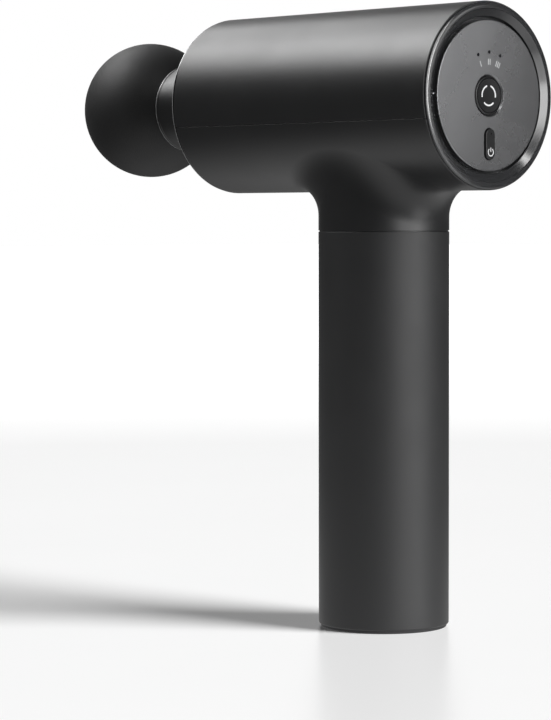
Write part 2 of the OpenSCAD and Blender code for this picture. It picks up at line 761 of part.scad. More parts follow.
module head_base() {
    shoulder_x = piston_front + 0.3;
    neck_r = 10.5;
    color("#303133") difference() {
        along_barrel() rotate_extrude($fn = 96) polygon([
            [0, socket_back + 1.5], [stem_r - 0.6, socket_back + 1.5], [stem_r, socket_back + 2.1],
            [stem_r, o_ring_x - groove_half], [stem_r - groove_depth, o_ring_x - groove_half],
            [stem_r - groove_depth, o_ring_x + groove_half], [stem_r, o_ring_x + groove_half],
            [stem_r, shoulder_x], [neck_r, shoulder_x],
            [neck_r, 94.5], [11.2, 96.6], [13.2, 99], [15.6, 100.8], [16.9, 102.2], [cup_r, 104],
            [cup_r, cup_x - 1.4], [cup_r + 0.16, cup_x - 1.1], [cup_r + 0.16, cup_x - 0.4],
            [cup_r - 0.24, cup_x], [0, cup_x]
        ]);
        along_barrel(ball_x) sphere(r = ball_r + 0.1, $fn = 96);
        along_barrel(99) cylinder(r = 8.05, h = 20, $fn = 64);
    }
}

module head_o_ring() {
    color("#1a1a1b") along_barrel(o_ring_x) rotate_extrude($fn = 72)
        translate([stem_r - groove_depth + o_ring_wire_r + 0.04, 0])
            circle(r = o_ring_wire_r, $fn = 24);
}

module ball_core() {
    core_r = ball_r - 6;
    color("#3a3b3d") difference() {
        union() {
            along_barrel(ball_x) sphere(r = core_r, $fn = 96);
            along_barrel(99.2) cylinder(r = 8, h = 20, $fn = 64);
        }
        along_barrel(ball_x) sphere(r = core_r - 2, $fn = 96);
        along_barrel(98) cylinder(r = 5, h = 26, $fn = 48);
    }
}

module ball_skin() {
    color("#252527") difference() {
        along_barrel(ball_x) sphere(r = ball_r, $fn = 96);
        along_barrel(ball_x) sphere(r = ball_r - 5.95, $fn = 96);
        along_barrel(100) cylinder(r = 8.2, h = 20, $fn = 64);
    }
}

// ---- Buttons ----------------------------------------------------------------------------
push_end = board_face - 3.8 - button_travel - 0.1;

module speed_button() {
    face = panel_face + 0.1;
    r = speed_hole_r - button_gap;
    color("#26272a") difference() {
        union() {
            on_back(panel_back + 0.2) cylinder(r = r, h = panel_back + 0.2 - face - 0.3, $fn = 64);
            on_back(face + 0.3) cylinder(r1 = r, r2 = r - 0.3, h = 0.3, $fn = 64);
            on_back(panel_back + 1.1) cylinder(r = r + 1.3, h = 0.95, $fn = 64);
            on_back(push_end) cylinder(r = 1.8, h = push_end - panel_back - 1, $fn = 32);
        }
        on_back(face + 0.12) button_arcs(0.4);
    }
}

// Three short arcs on a circle, the speed button's symbol
module button_arcs(h) {
    for (span = [[15, 85], [135, 90], [-100, 85]]) rotate([0, 0, span[0]])
        rotate_extrude(angle = span[1], $fn = 72) translate([3.35, 0]) square([0.6, h]);
}

module power_button() {
    face = panel_face - 0.85;
    l = power_slot_l - 2 * button_gap;
    w = power_slot_w - 2 * button_gap;
    color("#26272a") difference() {
        union() {
            on_back(panel_back + 0.2) translate([power_z, 0, 0])
                capsule(l, w, panel_back + 0.2 - face);
            on_back(panel_back + 1.1) translate([power_z, 0, 0]) capsule(l + 2, w + 2, 0.95);
            on_back(push_end) translate([power_push_z, 0, 0])
                cylinder(r = 1.6, h = push_end - panel_back - 1, $fn = 32);
        }
        on_back(face + 0.15) translate([power_z + 3.85, 0, 0]) cylinder(r = 0.6, h = 1, $fn = 24);
    }
}

// ---- Handle -----------------------------------------------------------------------------
module handle_tube() {
    edge = 0.6;
    boss_ring = 20.4;
    color("#333436") difference() {
        union() {
            difference() {
                translate([0, 0, foot_t + edge])
                    cylinder(r = handle_r, h = handle_top - foot_t - edge, $fn = 128);
                translate([0, 0, foot_t + edge - 1])
                    cylinder(r = inner_r, h = handle_top - foot_t + 2, $fn = 128);
            }
            translate([0, 0, foot_t]) difference() {
                cylinder(r1 = handle_r - edge, r2 = handle_r, h = edge, $fn = 128);
                translate([0, 0, -1]) cylinder(r = inner_r, h = edge + 2, $fn = 128);
            }
            for (a = base_angles) rotate([0, 0, a]) translate([boss_ring, 0, foot_t + 2.4])
                cylinder(r = 3.6, h = 5, $fn = 48);
        }
        for (a = base_angles) rotate([0, 0, a]) translate([boss_ring, 0, foot_t + 1])
            cylinder(r = 1, h = 5.5, $fn = 24);
    }
}

module base_cap() {
    color("#333436") difference() {
        translate([0, 0, foot_t]) cylinder(r = inner_r - 0.1, h = 2.3, $fn = 96);
        for (a = base_angles) rotate([0, 0, a]) translate([20.4, 0, foot_t]) mirror([0, 0, 1])
            flat_screw_hole(6, 1.15, 2.1);
        port_block(4.8, 1.8, foot_t - 1, 10);
    }
}

// The charging port's outline as a rounded slot, long along Y
module port_block(half_l, half_w, z, h) {
    translate([port_x, 0, z]) rotate([0, 0, 90]) capsule(2 * half_l, 2 * half_w, h);
}

module base_screws() {
    color("#8d9196") for (a = base_angles) rotate([0, 0, a]) translate([20.4, 0, foot_t])
        mirror([0, 0, 1]) flat_screw(6, 1, 1.95);
}

module base_pad() {
    edge = 0.5;
    color("#1c1c1d") difference() {
        union() {
            translate([0, 0, edge]) cylinder(r = handle_r - 0.85, h = foot_t - edge, $fn = 96);
            cylinder(r1 = handle_r - 0.85 - edge, r2 = handle_r - 0.85, h = edge, $fn = 96);
        }
        port_block(6.2, 3.2, -1, 10);
    }
}

module charge_port() {
    shell_h = 7.8;
    color("#a6abb0") difference() {
        port_block(4.47, 1.63, foot_t, shell_h);
        port_block(4.17, 1.33, foot_t - 1, shell_h);
    }
    color("#1f1f20") translate([port_x - 0.35, -3.35, foot_t + 1.4]) cube([0.7, 6.7, shell_h - 2]);
}

module charge_board() {
    color("#1f5a3a") {
        difference() {
            translate([0, 0, foot_t + 7.8]) cylinder(r = 21, h = 1.2, $fn = 72);
            translate([-8, 0, foot_t + 7]) cylinder(r = 1.6, h = 4, $fn = 24);
        }
        translate([-14, -4, foot_t + 9]) cube([5, 8, 1.4]);
        translate([4, 7, foot_t + 9]) cube([4, 4, 2.4]);
        translate([4, -11, foot_t + 9]) cube([4, 4, 2.4]);
    }
}

cell_angles = [90, 210, 330];

module battery_cells() {
    color("#2f6fb0") for (a = cell_angles) rotate([0, 0, a]) translate([cell_ring, 0, cell_z])
        cylinder(r = cell_r, h = cell_l, $fn = 64);
}

module battery_straps() {
    strap_w = 6;
    strap_t = 0.25;
    gap = 2 * cell_ring * sin(60);
    color("#c9ccd0") {
        for (end = [[cell_top, 150], [cell_z - strap_t, 270]]) rotate([0, 0, end[1]])
            translate([cell_ring * cos(60) - strap_w / 2, -gap / 2, end[0]])
                cube([strap_w, gap, strap_t]);
        rotate([0, 0, 330]) translate([cell_ring - 3, -3, cell_top]) cube([6, 6, strap_t]);
        rotate([0, 0, 90]) translate([cell_ring - 3, -3, cell_z - strap_t]) cube([6, 6, strap_t]);
    }
}

// A round carrier over the cells' top ends, with three pockets, a shared well for the straps
// and two holes for the leads
module cell_holder() {
    floor_z = cell_top + 0.5;
    depth = 6;
    difference() {
        translate([0, 0, floor_z - depth]) cylinder(r = inner_r - 0.3, h = depth + 3, $fn = 96);
        for (a = cell_angles) rotate([0, 0, a]) translate([cell_ring, 0, floor_z - depth - 1])
            cylinder(r = cell_r + 0.1, h = depth + 1, $fn = 64);
        translate([0, 0, floor_z - depth - 1]) cylinder(r = 11.5, h = depth + 1, $fn = 48);
        translate([0, 0, floor_z - 1]) cylinder(r = 2.2, h = 6, $fn = 32);
        translate([8, -3, floor_z - 1]) cylinder(r = 1.4, h = 6, $fn = 32);
    }
}

module lower_cell_holder() {
    color("#44464a") translate([0, 0, cell_z + cell_top]) mirror([0, 0, 1]) cell_holder();
}
module upper_cell_holder() {
    color("#44464a") cell_holder();
}

module board_bracket() {
    rail_in = 15.5;
    color("#44464a") for (s = [-1, 1]) difference() {
        translate([-5, s > 0 ? rail_in : -21.5, 88.5]) cube([7, 21.5 - rail_in, 44]);
        translate([-2.9, s > 0 ? 0 : -18.2, 95.8]) cube([1.8, 18.2, 50]);
    }
}

module driver_board() {
    color("#1f5a3a") translate([-2.8, -18, board_z]) cube([1.6, 36, board_h]);
}

module board_parts() {
    color("#4d4f55") {
        for (y = [-9, 0, 9]) translate([-2.8, y, board_z + 9]) rotate([0, -90, 0])
            cylinder(r = 4, h = 11, $fn = 48);
        for (i = [0 : 2]) for (k = [0 : 1])
            translate([-1.2, -12.5 + i * 9.5, board_z + 24 + k * 8]) cube([1.4, 6, 5]);
        translate([-1.2, -4, board_z + 8]) cube([1.2, 8, 8]);
        translate([-6.8, -5, board_z + 30]) cube([4, 10, 6]);
        translate([-1.2, -11, board_z + 2]) cube([4, 5, 4]);
        translate([-1.2, 6, board_z + 2]) cube([4, 5, 4]);
        translate([-1.2, -5, board_z + 35]) cube([7, 10, 6]);
    }
}

// Control points of the wires' routes, in round numbers
motor_lead = [
    [4.5, 0, 137.3], [5.5, 0, 142], [14, 0, 149], [19, 0, 155], [21.2, 0, 161], [21.8, 0, 166],
    [21.8, 0, 174], [21.8, 0, 180], [20.5, 0, 183], [17.5, 0, 183.6], [15.4, 0, 182.8], [14.9, 0, 181.7],
];
control_lead = [
    [-4.8, 0, 132.6], [-4.8, 0, 138], [-12, 0, 144], [-18, 0, 152], [-21.4, 0, 161], [-21.7, 0, 167],
    [-21.7, 0, 175], [-25, 0, 181], [-32, 0, 188], [-37, 0, 193.2], [-41.1, 0, 194],
];
battery_lead = [
    [8, -3, 85.5], [8, -3, 89.5], [7, 1, 92.5], [3, 7, 94.2], [0.9, 8.5, 95.6], [0.9, 8.5, 97.8],
];
charge_lead = [
    [0, 0, 10.2], [0, 0, 40], [0, 0, 70], [0, 0, 86], [1, -3, 90.5], [1.6, -7, 93],
    [0.8, -8.5, 95.2], [0.8, -8.5, 97.8],
];

module wires() {
    color("#a33a2e") {
        for (a = [-25, 0, 25]) rotate([0, 0, a]) swept_wire(spline(motor_lead, 2), 0.7);
        swept_wire(spline(control_lead, 2), 1);
        swept_wire(spline(battery_lead, 2), 0.9);
        swept_wire(spline(charge_lead, 2), 1);
    }
}

upper_housing();
lower_housing();
rear_bezel();
bezel_screws();
control_panel();
speed_marks();
light_pipes();
control_board();
tact_switches();
board_screws();
front_plate();
plate_screws();
front_cap();
nose_seal();
drive_frame();
frame_dampers();
frame_screws();
guide_sleeve();
guide_bush();
sleeve_clamps();
clamp_screws();
motor_base();
motor_screws();
bearing_outer_races();
bearing_balls();
stator();
windings();
handle_tube();
base_cap();
base_screws();
base_pad();
charge_port();
charge_board();
battery_cells();
battery_straps();
lower_cell_holder();
upper_cell_holder();
board_bracket();
driver_board();
board_parts();
wires();
crank_wheel();
counterweight();
counterweight_screws();
motor_shaft();
rotor_can();
rotor_magnets();
bearing_inner_races();
connecting_rod();
small_end_bush();
big_end_bearing();
crank_pin();
piston();
wrist_pin();
head_base();
head_o_ring();
ball_core();
ball_skin();
speed_button();
power_button();
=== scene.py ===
import json
import math

import bpy
from mathutils import Matrix, Vector
from mathutils.geometry import tessellate_polygon
from mathutils.kdtree import KDTree


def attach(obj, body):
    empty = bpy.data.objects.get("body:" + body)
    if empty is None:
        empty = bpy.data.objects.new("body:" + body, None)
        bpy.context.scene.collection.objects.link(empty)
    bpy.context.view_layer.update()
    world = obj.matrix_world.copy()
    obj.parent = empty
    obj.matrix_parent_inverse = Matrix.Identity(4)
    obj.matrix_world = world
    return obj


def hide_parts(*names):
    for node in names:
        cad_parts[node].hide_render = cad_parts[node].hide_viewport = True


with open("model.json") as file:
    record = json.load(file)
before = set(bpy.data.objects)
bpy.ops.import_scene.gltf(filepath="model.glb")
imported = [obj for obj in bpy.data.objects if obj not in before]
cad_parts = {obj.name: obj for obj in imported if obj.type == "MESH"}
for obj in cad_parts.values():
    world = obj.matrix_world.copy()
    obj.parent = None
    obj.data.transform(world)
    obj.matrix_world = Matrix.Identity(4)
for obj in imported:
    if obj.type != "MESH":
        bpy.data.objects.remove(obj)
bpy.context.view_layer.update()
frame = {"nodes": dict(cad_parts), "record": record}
nodes = frame["nodes"]
scene = bpy.context.scene
scene.view_settings.view_transform = "Standard"
scene.view_settings.look = "None"

# Shapes are in millimetres, in the frame's own axes: x along the barrel to the head, z up.
MM = 0.001
AXIS_Z = 203.5  # height of the barrel's axis


# ---- Camera -----------------------------------------------------------------------------
def add_camera():
    """The camera that was fitted to the photo: angles in radians, place in metres."""
    yaw, pitch, roll = 0.7578, 0.0499, -0.0017
    place = Vector((-0.76194, 0.77873, 0.15769))
    ahead = Vector((math.cos(yaw) * math.cos(pitch), -math.sin(yaw) * math.cos(pitch), -math.sin(pitch)))
    right = Vector((-math.sin(yaw), -math.cos(yaw), 0))
    up = right.cross(ahead)
    turned_right = math.cos(roll) * right + math.sin(roll) * up
    turned_up = math.cos(roll) * up - math.sin(roll) * right
    data = bpy.data.cameras.new("camera")
    data.lens = 140.75
    data.sensor_width = 36
    data.clip_start = 0.01
    data.clip_end = 60
    camera = bpy.data.objects.new("camera", data)
    scene.collection.objects.link(camera)
    m = Matrix((turned_right, turned_up, -ahead)).transposed().to_4x4()
    m.translation = place
    camera.matrix_world = m
    scene.camera = camera


add_camera()


# ---- Materials --------------------------------------------------------------------------
def tree_of(name):
    """A new material, its node tree and its shader."""
    mat = bpy.data.materials.new(name)
    mat.use_nodes = True
    return mat, mat.node_tree, mat.node_tree.nodes["Principled BSDF"]


def add(tree, kind, **values):
    """A new node, with its properties set, or else its inputs."""
    node = tree.nodes.new(kind)
    for key, value in values.items():
        if hasattr(node, key):
            setattr(node, key, value)
        else:
            node.inputs[key.replace("_", " ")].default_value = value
    return node


def stretched(tree, scale):
    """Object coordinates in metres, scaled along each axis."""
    coord = add(tree, "ShaderNodeTexCoord")
    mapping = add(tree, "ShaderNodeMapping")
    mapping.inputs["Scale"].default_value = scale
    tree.links.new(coord.outputs["Object"], mapping.inputs["Vector"])
    return mapping.outputs["Vector"]


def noise(tree, vector, scale, detail=3.0, rough=0.55):
    node = add(tree, "ShaderNodeTexNoise")
    node.inputs["Scale"].default_value = scale
    node.inputs["Detail"].default_value = detail
    node.inputs["Roughness"].default_value = rough
    tree.links.new(vector, node.inputs["Vector"])
    return node.outputs["Fac"]


def ranged(tree, value, low, high, from_low=0.3, from_high=0.7):
    """Maps a value's range onto low to high."""
    node = add(tree, "ShaderNodeMapRange")
    node.inputs["From Min"].default_value = from_low
    node.inputs["From Max"].default_value = from_high
    node.inputs["To Min"].default_value = low
    node.inputs["To Max"].default_value = high
    tree.links.new(value, node.inputs["Value"])
    return node.outputs["Result"]


def tinted(tree, value, color, change, target):
    """Drives a color socket: a color made darker and lighter by a share of itself."""
    ramp = add(tree, "ShaderNodeValToRGB")
    ramp.color_ramp.elements[0].position = 0.3
    ramp.color_ramp.elements[1].position = 0.7
    ramp.color_ramp.elements[0].color = [c * (1 - change) for c in color] + [1]
    ramp.color_ramp.elements[1].color = [c * (1 + change) for c in color] + [1]
    tree.links.new(value, ramp.inputs["Fac"])
    tree.links.new(ramp.outputs["Color"], target)


def bumped(tree, shader, value, strength, depth_mm):
    node = add(tree, "ShaderNodeBump")
    node.inputs["Strength"].default_value = strength
    node.inputs["Distance"].default_value = depth_mm * MM
    tree.links.new(value, node.inputs["Height"])
    tree.links.new(node.outputs["Normal"], shader.inputs["Normal"])


def set_sockets(shader, sockets):
    for key, value in sockets.items():
        shader.inputs[key.replace("_", " ")].default_value = value


CLOUD_SCALE = 45  # mottling of a surface's tone, per metre
BAND_CLOUD = 300
BOARD_CLOUD = 200
TRACK_SCALE = 420


def moulded(name, color, rough, grain_mm=0.3, depth_mm=0.01, strength=0.3, vary=0.08, drift=0.03,
            stretch=(1, 1, 1), **sockets):
    """Moulded, painted, cast or rubbery finishes: fine grain, wide mottling of tone and roughness."""
    mat, tree, shader = tree_of(name)
    vector = stretched(tree, stretch)
    grain = noise(tree, vector, 1 / (grain_mm * MM), 2.0)
    cloud = noise(tree, vector, CLOUD_SCALE, 4.0, 0.6)
    tinted(tree, cloud, color, vary, shader.inputs["Base Color"])
    tree.links.new(ranged(tree, cloud, rough - drift, rough + drift), shader.inputs["Roughness"])
    bumped(tree, shader, grain, strength, depth_mm)
    set_sockets(shader, sockets)
    return mat


def banded(name, color, rough, pitch_mm, depth_mm, direction="Z", strength=0.5, **sockets):
    """Layers or turns: even bands along one axis, over fine grain."""
    mat, tree, shader = tree_of(name)
    vector = stretched(tree, (1, 1, 1))
    wave = add(tree, "ShaderNodeTexWave")
    wave.bands_direction = direction
    wave.inputs["Scale"].default_value = 0.314 / (pitch_mm * MM) / 2
    wave.inputs["Distortion"].default_value = 0.4
    tree.links.new(vector, wave.inputs["Vector"])
    cloud = noise(tree, vector, BAND_CLOUD, 4.0)
    tinted(tree, cloud, color, 0.18, shader.inputs["Base Color"])
    tree.links.new(ranged(tree, cloud, rough - 0.05, rough + 0.05), shader.inputs["Roughness"])
    bumped(tree, shader, wave.outputs["Fac"], strength, depth_mm)
    set_sockets(shader, sockets)
    return mat


def circuit(name, color, rough):
    """A solder-masked board with faint tracks under the mask."""
    mat, tree, shader = tree_of(name)
    vector = stretched(tree, (1, 1, 1))
    tracks = add(tree, "ShaderNodeTexVoronoi", feature="DISTANCE_TO_EDGE", distance="EUCLIDEAN")
    tracks.inputs["Scale"].default_value = TRACK_SCALE
    tree.links.new(vector, tracks.inputs["Vector"])
    edge = ranged(tree, tracks.outputs["Distance"], 0.7, 0.3, 0.02, 0.09)
    tinted(tree, edge, color, 0.45, shader.inputs["Base Color"])
    cloud = noise(tree, vector, BOARD_CLOUD, 3.0)
    tree.links.new(ranged(tree, cloud, rough - 0.05, rough + 0.05), shader.inputs["Roughness"])
    bumped(tree, shader, edge, 0.4, 0.03)
    return mat


# moulded: name, color, roughness, grain mm, depth mm, strength of the bump, change of tone, of
# roughness. banded: name, color, roughness, pitch mm, depth mm, axis, strength.
MATERIALS = {
    "shell": moulded("shell", (0.010, 0.0102, 0.0108), 0.40, 0.25, 0.012, 0.25, 0.05, 0.02),
    "handle": moulded("handle", (0.011, 0.0112, 0.0118), 0.55, 0.22, 0.02, 0.35, 0.05, 0.03),
    "panel": moulded("panel", (0.20, 0.201, 0.206), 0.27, 0.3, 0.004, 0.2, 0.04, 0.02, Metallic=0.9),
    "mark": moulded("mark", (0.42, 0.425, 0.43), 0.5, 0.2, 0.01, 0.2, 0.03, 0.03),
    "icon": moulded("icon", (0.78, 0.785, 0.79), 0.45, 0.2, 0.01, 0.2, 0.03, 0.03),
    # edge: a light grey for thin bands over the rims of the front cap and the cup, a painted highlight
    "edge": moulded("edge", (0.5, 0.5, 0.51), 0.3, 0.2, 0.01, 0.2, 0.05, 0.03, Metallic=0.4),
    "lens": moulded("lens", (0.012, 0.012, 0.014), 0.12, 0.6, 0.01, 0.1, 0.05, 0.02, Coat_Weight=0.5),
    "button": moulded("button", (0.008, 0.008, 0.0086), 0.4, 0.25, 0.01, 0.25, 0.05, 0.03),
    "trim": moulded("trim", (0.010, 0.0102, 0.0108), 0.17, 0.25, 0.008, 0.2, 0.05, 0.02),
    "board": circuit("board", (0.02, 0.13, 0.06), 0.35),
    "switch": moulded("switch", (0.6, 0.61, 0.62), 0.3, 0.3, 0.01, 0.2, 0.06, 0.05, Metallic=1.0),
    "screw": moulded("screw", (0.42, 0.43, 0.45), 0.32, 0.15, 0.02, 0.3, 0.1, 0.06, Metallic=1.0),
    "inner_plastic": moulded("inner_plastic", (0.08, 0.08, 0.085), 0.5, 0.5, 0.03, 0.4, 0.15, 0.06),
    "seal": moulded("seal", (0.015, 0.015, 0.016), 0.7, 0.3, 0.02, 0.4, 0.1, 0.05),
    "cast": moulded("cast", (0.55, 0.56, 0.58), 0.38, 0.4, 0.03, 0.4, 0.08, 0.08, Metallic=1.0),
    "bush": moulded("bush", (0.74, 0.72, 0.66), 0.45, 0.3, 0.02, 0.3, 0.05, 0.05),
    "steel": moulded("steel", (0.5, 0.51, 0.53), 0.24, 0.3, 0.02, 0.3, 0.08, 0.05, (1, 1, 14),
                     Metallic=1.0),
    "core": banded("core", (0.25, 0.26, 0.28), 0.4, 0.5, 0.05, "Z", 0.5, Metallic=0.9),
    "copper": banded("copper", (0.6, 0.27, 0.1), 0.3, 0.5, 0.12, "Z", 0.7, Metallic=0.9),
    "cell": moulded("cell", (0.06, 0.16, 0.4), 0.3, 2.5, 0.05, 0.25, 0.08, 0.05, Coat_Weight=0.4),
    "wire": moulded("wire", (0.42, 0.07, 0.05), 0.45, 0.4, 0.02, 0.3, 0.08, 0.05),
    "head_base": moulded("head_base", (0.010, 0.010, 0.0106), 0.38, 0.25, 0.012, 0.25, 0.05, 0.03),
    "ball": moulded("ball", (0.010, 0.010, 0.0104), 0.6, 0.5, 0.08, 0.8, 0.08, 0.04,
                     Specular_IOR_Level=0.38),
}


for part in frame["record"]["subparts"]:
    mesh = nodes[part["node"]].data
    mesh.materials.clear()
    mesh.materials.append(MATERIALS[part["material_slot"]])


# ---- Meshes -----------------------------------------------------------------------------
class Skin:
    """Faces in millimetres, each with its own corner normals. Corners at one place are shared."""

    def __init__(self):
        self.points = []
        self.index = {}
        self.faces = []
        self.normals = []

    def vertex(self, p):
        key = (round(p[0], 3), round(p[1], 3), round(p[2], 3))
        if key not in self.index:
            self.index[key] = len(self.points)
            self.points.append((p[0] * MM, p[1] * MM, p[2] * MM))
        return self.index[key]

    def face(self, points, normals):
        ids = [self.vertex(p) for p in points]
        kept = [i for i in range(len(ids)) if ids[i] != ids[i - 1]]
        if len({ids[i] for i in kept}) < 3:
            return
        corners = [Vector(points[i]) for i in kept]
        if len(corners) == 4:
            across = (corners[2] - corners[0]).cross(corners[3] - corners[1])
        else:
            across = (corners[1] - corners[0]).cross(corners[2] - corners[0])
        outward = Vector((0, 0, 0))
        for i in kept:
            outward += Vector(normals[i])
        if across.dot(outward) < 0:
            kept.reverse()
        self.faces.append([ids[i] for i in kept])
        self.normals.extend(tuple(normals[i]) for i in kept)

    def rows(self, rows, wrap=False):
        """Joins rows of (points, normals), which all have the same count."""
        count = len(rows[0][0])
        for (p, n), (q, m) in zip(rows, rows[1:]):
            for i in range(count if wrap else count - 1):
                j = (i + 1) % count
                self.face([p[i], p[j], q[j], q[i]], [n[i], n[j], m[j], m[i]])

    def turn(self, profile, axis, steps):
        """Turns a profile of ((r, h), normal, (r, h), normal) pieces round an axis."""
        origin, along, u, v = axis
        ring = []
        for i in range(steps):
            a = 2 * math.pi * i / steps
            ring.append(u * math.cos(a) + v * math.sin(a))
        for p, n, q, m in profile:
            rows = []
            for (r, h), (nr, nh) in ((p, n), (q, m)):
                rows.append(([origin + along * h + w * r for w in ring],
                             [(along * nh + w * nr).normalized() for w in ring]))
            self.rows(rows, True)

    def plate(self, loops, normal):
        """A flat face with holes: the first loop is its outline."""
        flat = [Vector(p) for loop in loops for p in loop]
        for tri in tessellate_polygon([[Vector(p) for p in loop] for loop in loops]):
            self.face([flat[i] for i in tri], [normal] * 3)

    def cad(self, node, keep, move=None):
        """Takes over the faces of a CAD node that keep(centre, normal) accepts."""
        mesh = nodes[node].data
        for poly in mesh.polygons:
            centre = poly.center / MM
            if not keep(centre, poly.normal):
                continue
            points = [mesh.vertices[i].co / MM for i in poly.vertices]
            if move:
                points = [move(p) for p in points]
            self.face(points, [mesh.corner_normals[i].vector for i in poly.loop_indices])

    def make(self, name, slot, body, *replaced, finish=None):
        """Makes the piece. It wears its slot's material, or a finish of its own."""
        mesh = bpy.data.meshes.new(name)
        mesh.from_pydata(self.points, [], self.faces)
        mesh.polygons.foreach_set("use_smooth", [True] * len(self.faces))
        mesh.normals_split_custom_set(self.normals)
        mesh.materials.append(MATERIALS[finish or slot])
        piece = bpy.data.objects.new(name, mesh)
        scene.collection.objects.link(piece)
        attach(piece, body)
        if replaced:
            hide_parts(*replaced)
        return piece


X = Vector((1, 0, 0))
Y = Vector((0, 1, 0))
Z = Vector((0, 0, 1))
# An axis is its origin, its direction, and the directions of 0 and 90 degrees round it.
BARREL = (Vector((0, 0, AXIS_Z)), X, Z, Y)
POST = (Vector((0, 0, 0)), Z, X, Y)
# Steps round a turned shape, by its size.
LARGE, MIDDLE, SMALL, TINY = 256, 192, 96, 32


def on_panel(up, aside=0.0):
    """An axis that runs through the panel at a height and a side from the barrel's axis."""
    return (Vector((0, aside, AXIS_Z + up)), X, Z, Y)


TINY_LENGTH = 1e-6


def profile(corners, closed=False, side=1, steps=5):
    """Straight pieces and rounded corners from (r, h) or (r, h, radius) corners. With side 1 the
    normals point to the right of the path, with -1 to its left."""
    count = len(corners)
    starts, ends, arcs = [], [], []
    points = [Vector(c[:2]) for c in corners]
    for i, corner in enumerate(corners):
        radius = corner[2] if len(corner) > 2 else 0
        p = points[i]
        if radius and (closed or 0 < i < count - 1):
            d1 = (p - points[i - 1]).normalized()
            d2 = (points[(i + 1) % count] - p).normalized()
            bend = math.atan2(d1.x * d2.y - d1.y * d2.x, d1.dot(d2))
            reach = radius * math.tan(abs(bend) / 2)
            begin = p - d1 * reach
            sign = 1 if bend > 0 else -1
            hub = begin + Vector((-d1.y, d1.x)) * radius * sign
            n1 = Vector((d1.y, -d1.x)) * side
            arc = []
            for k in range(steps + 1):
                a = bend * k / steps
                turn = Matrix.Rotation(a, 2)
                arc.append((hub + turn @ (begin - hub), turn @ n1))
            arcs.append(arc)
            starts.append(arc[0][0])
            ends.append(arc[-1][0])
        else:
            arcs.append([])
            starts.append(p)
            ends.append(p)
    made = []
    for i in range(count):
        for (a, n), (b, m) in zip(arcs[i], arcs[i][1:]):
            made.append((a, n, b, m))
        if closed or i < count - 1:
            a, b = ends[i], starts[(i + 1) % count]
            if (b - a).length > TINY_LENGTH:
                d = (b - a).normalized()
                n = Vector((d.y, -d.x)) * side
                made.append((a, n, b, n))
    return made


def arc_profile(centre_h, radius, first, last, steps, out=1):
    """Part of a circle round a point on the axis, by the angle from +h."""
    made = []
    for k in range(steps):
        pair = []
        for a in (first + (last - first) * k / steps, first + (last - first) * (k + 1) / steps):
            n = Vector((math.sin(a), math.cos(a)))
            pair += [Vector((0, centre_h)) + n * radius, n * out]
        made.append(tuple(pair))
    return made


def curve_profile(points, steps):
    """A smooth curve through (r, h) points."""
    p = [Vector(q) for q in points]
    p = [2 * p[0] - p[1]] + p + [2 * p[-1] - p[-2]]
    line = []
    for i in range(1, len(p) - 2):
        a, b, c, d = p[i - 1:i + 3]
        for k in range(steps):
            t = k / steps
            at = 0.5 * (2 * b + (c - a) * t + (2 * a - 5 * b + 4 * c - d) * t * t
                        + (3 * b - a - 3 * c + d) * t ** 3)
            way = 0.5 * ((c - a) + 2 * (2 * a - 5 * b + 4 * c - d) * t
                         + 3 * (3 * b - a - 3 * c + d) * t * t)
            line.append((at, way.normalized()))
    line.append((p[-2], (p[-1] - p[-2]).normalized()))
    return [(a, Vector((d.y, -d.x)), b, Vector((e.y, -e.x)))
            for (a, d), (b, e) in zip(line, line[1:])]


def radius_of(p):
    """Distance from the barrel's axis."""
    return math.hypot(p.y, p.z - AXIS_Z)


def pulled(p, radius):
    """The same point brought in to a radius about the barrel's axis."""
    k = radius / radius_of(p)
    return Vector((p.x, p.y * k, AXIS_Z + (p.z - AXIS_Z) * k))


# ---- Barrel shells ----------------------------------------------------------------------
# The lower shell is a fan of columns, each from the neck's bottom edge up to the shell's outline.
BARREL_R = 35.15
SHELL_BACK = -54.3
SHELL_FRONT = 82.6
PARTING = -9.15  # height of the parting line over the barrel's axis
PARTING_GAP = 0.2
EDGE = 0.1  # rounding of the shells' edges
NECK_R = 25.25
END_FILLET = 13.0  # the neck's blend, at its front and back
SIDE_FILLET = 26.0
NECK_BOTTOM = 153.4
SPIGOT_R = 24.85  # the neck's step down to the handle's seam
SPIGOT_BORE = 23.1
SPIGOT_BOTTOM = 153.02
ROUND = [math.radians(a) for a in (22.5, 45, 67.5, 90)]
ROWS_ROUND, ROWS_ALONG = 84, 64  # columns of the lower shell, by the edge they end at
BLEND_ROWS = 22
BARREL_ROWS = 20
SPOT_ROUND, SPOT_ROWS = 240, 24  # samples of the blend, to know the CAD's faces on it
HALVINGS = 40


def blend_point(a, t):
    """A point of the neck's blend and its ball's centre: t is 0 at the neck, 1 at the barrel."""
    radius = END_FILLET + (SIDE_FILLET - END_FILLET) * math.sin(a) ** 2
    reach = NECK_R + radius
    hub = Vector((reach * math.cos(a), reach * math.sin(a),
                  -math.sqrt((BARREL_R + radius) ** 2 - (reach * math.sin(a)) ** 2)))
    u = Vector((-math.cos(a), -math.sin(a), 0))
    v = Vector((0, -hub.y, -hub.z)) / (BARREL_R + radius)
    w = math.acos(max(-1, min(1, u.dot(v))))
    d = (u * math.sin((1 - t) * w) + v * math.sin(t * w)) / math.sin(w)
    return hub + d * radius + Z * AXIS_Z, hub + Z * AXIS_Z


def blend(a, t):
    """A point of the neck's blend and its normal."""
    p, hub = blend_point(a, t)
    step = 0.002
    across = blend_point(a + step, t)[0] - blend_point(a - step, t)[0]
    low, high = max(0, t - step), min(1, t + step)
    up = blend_point(a, high)[0] - blend_point(a, low)[0]
    n = across.cross(up).normalized()
    return p, n if n.dot(hub - p) > 0 else -n


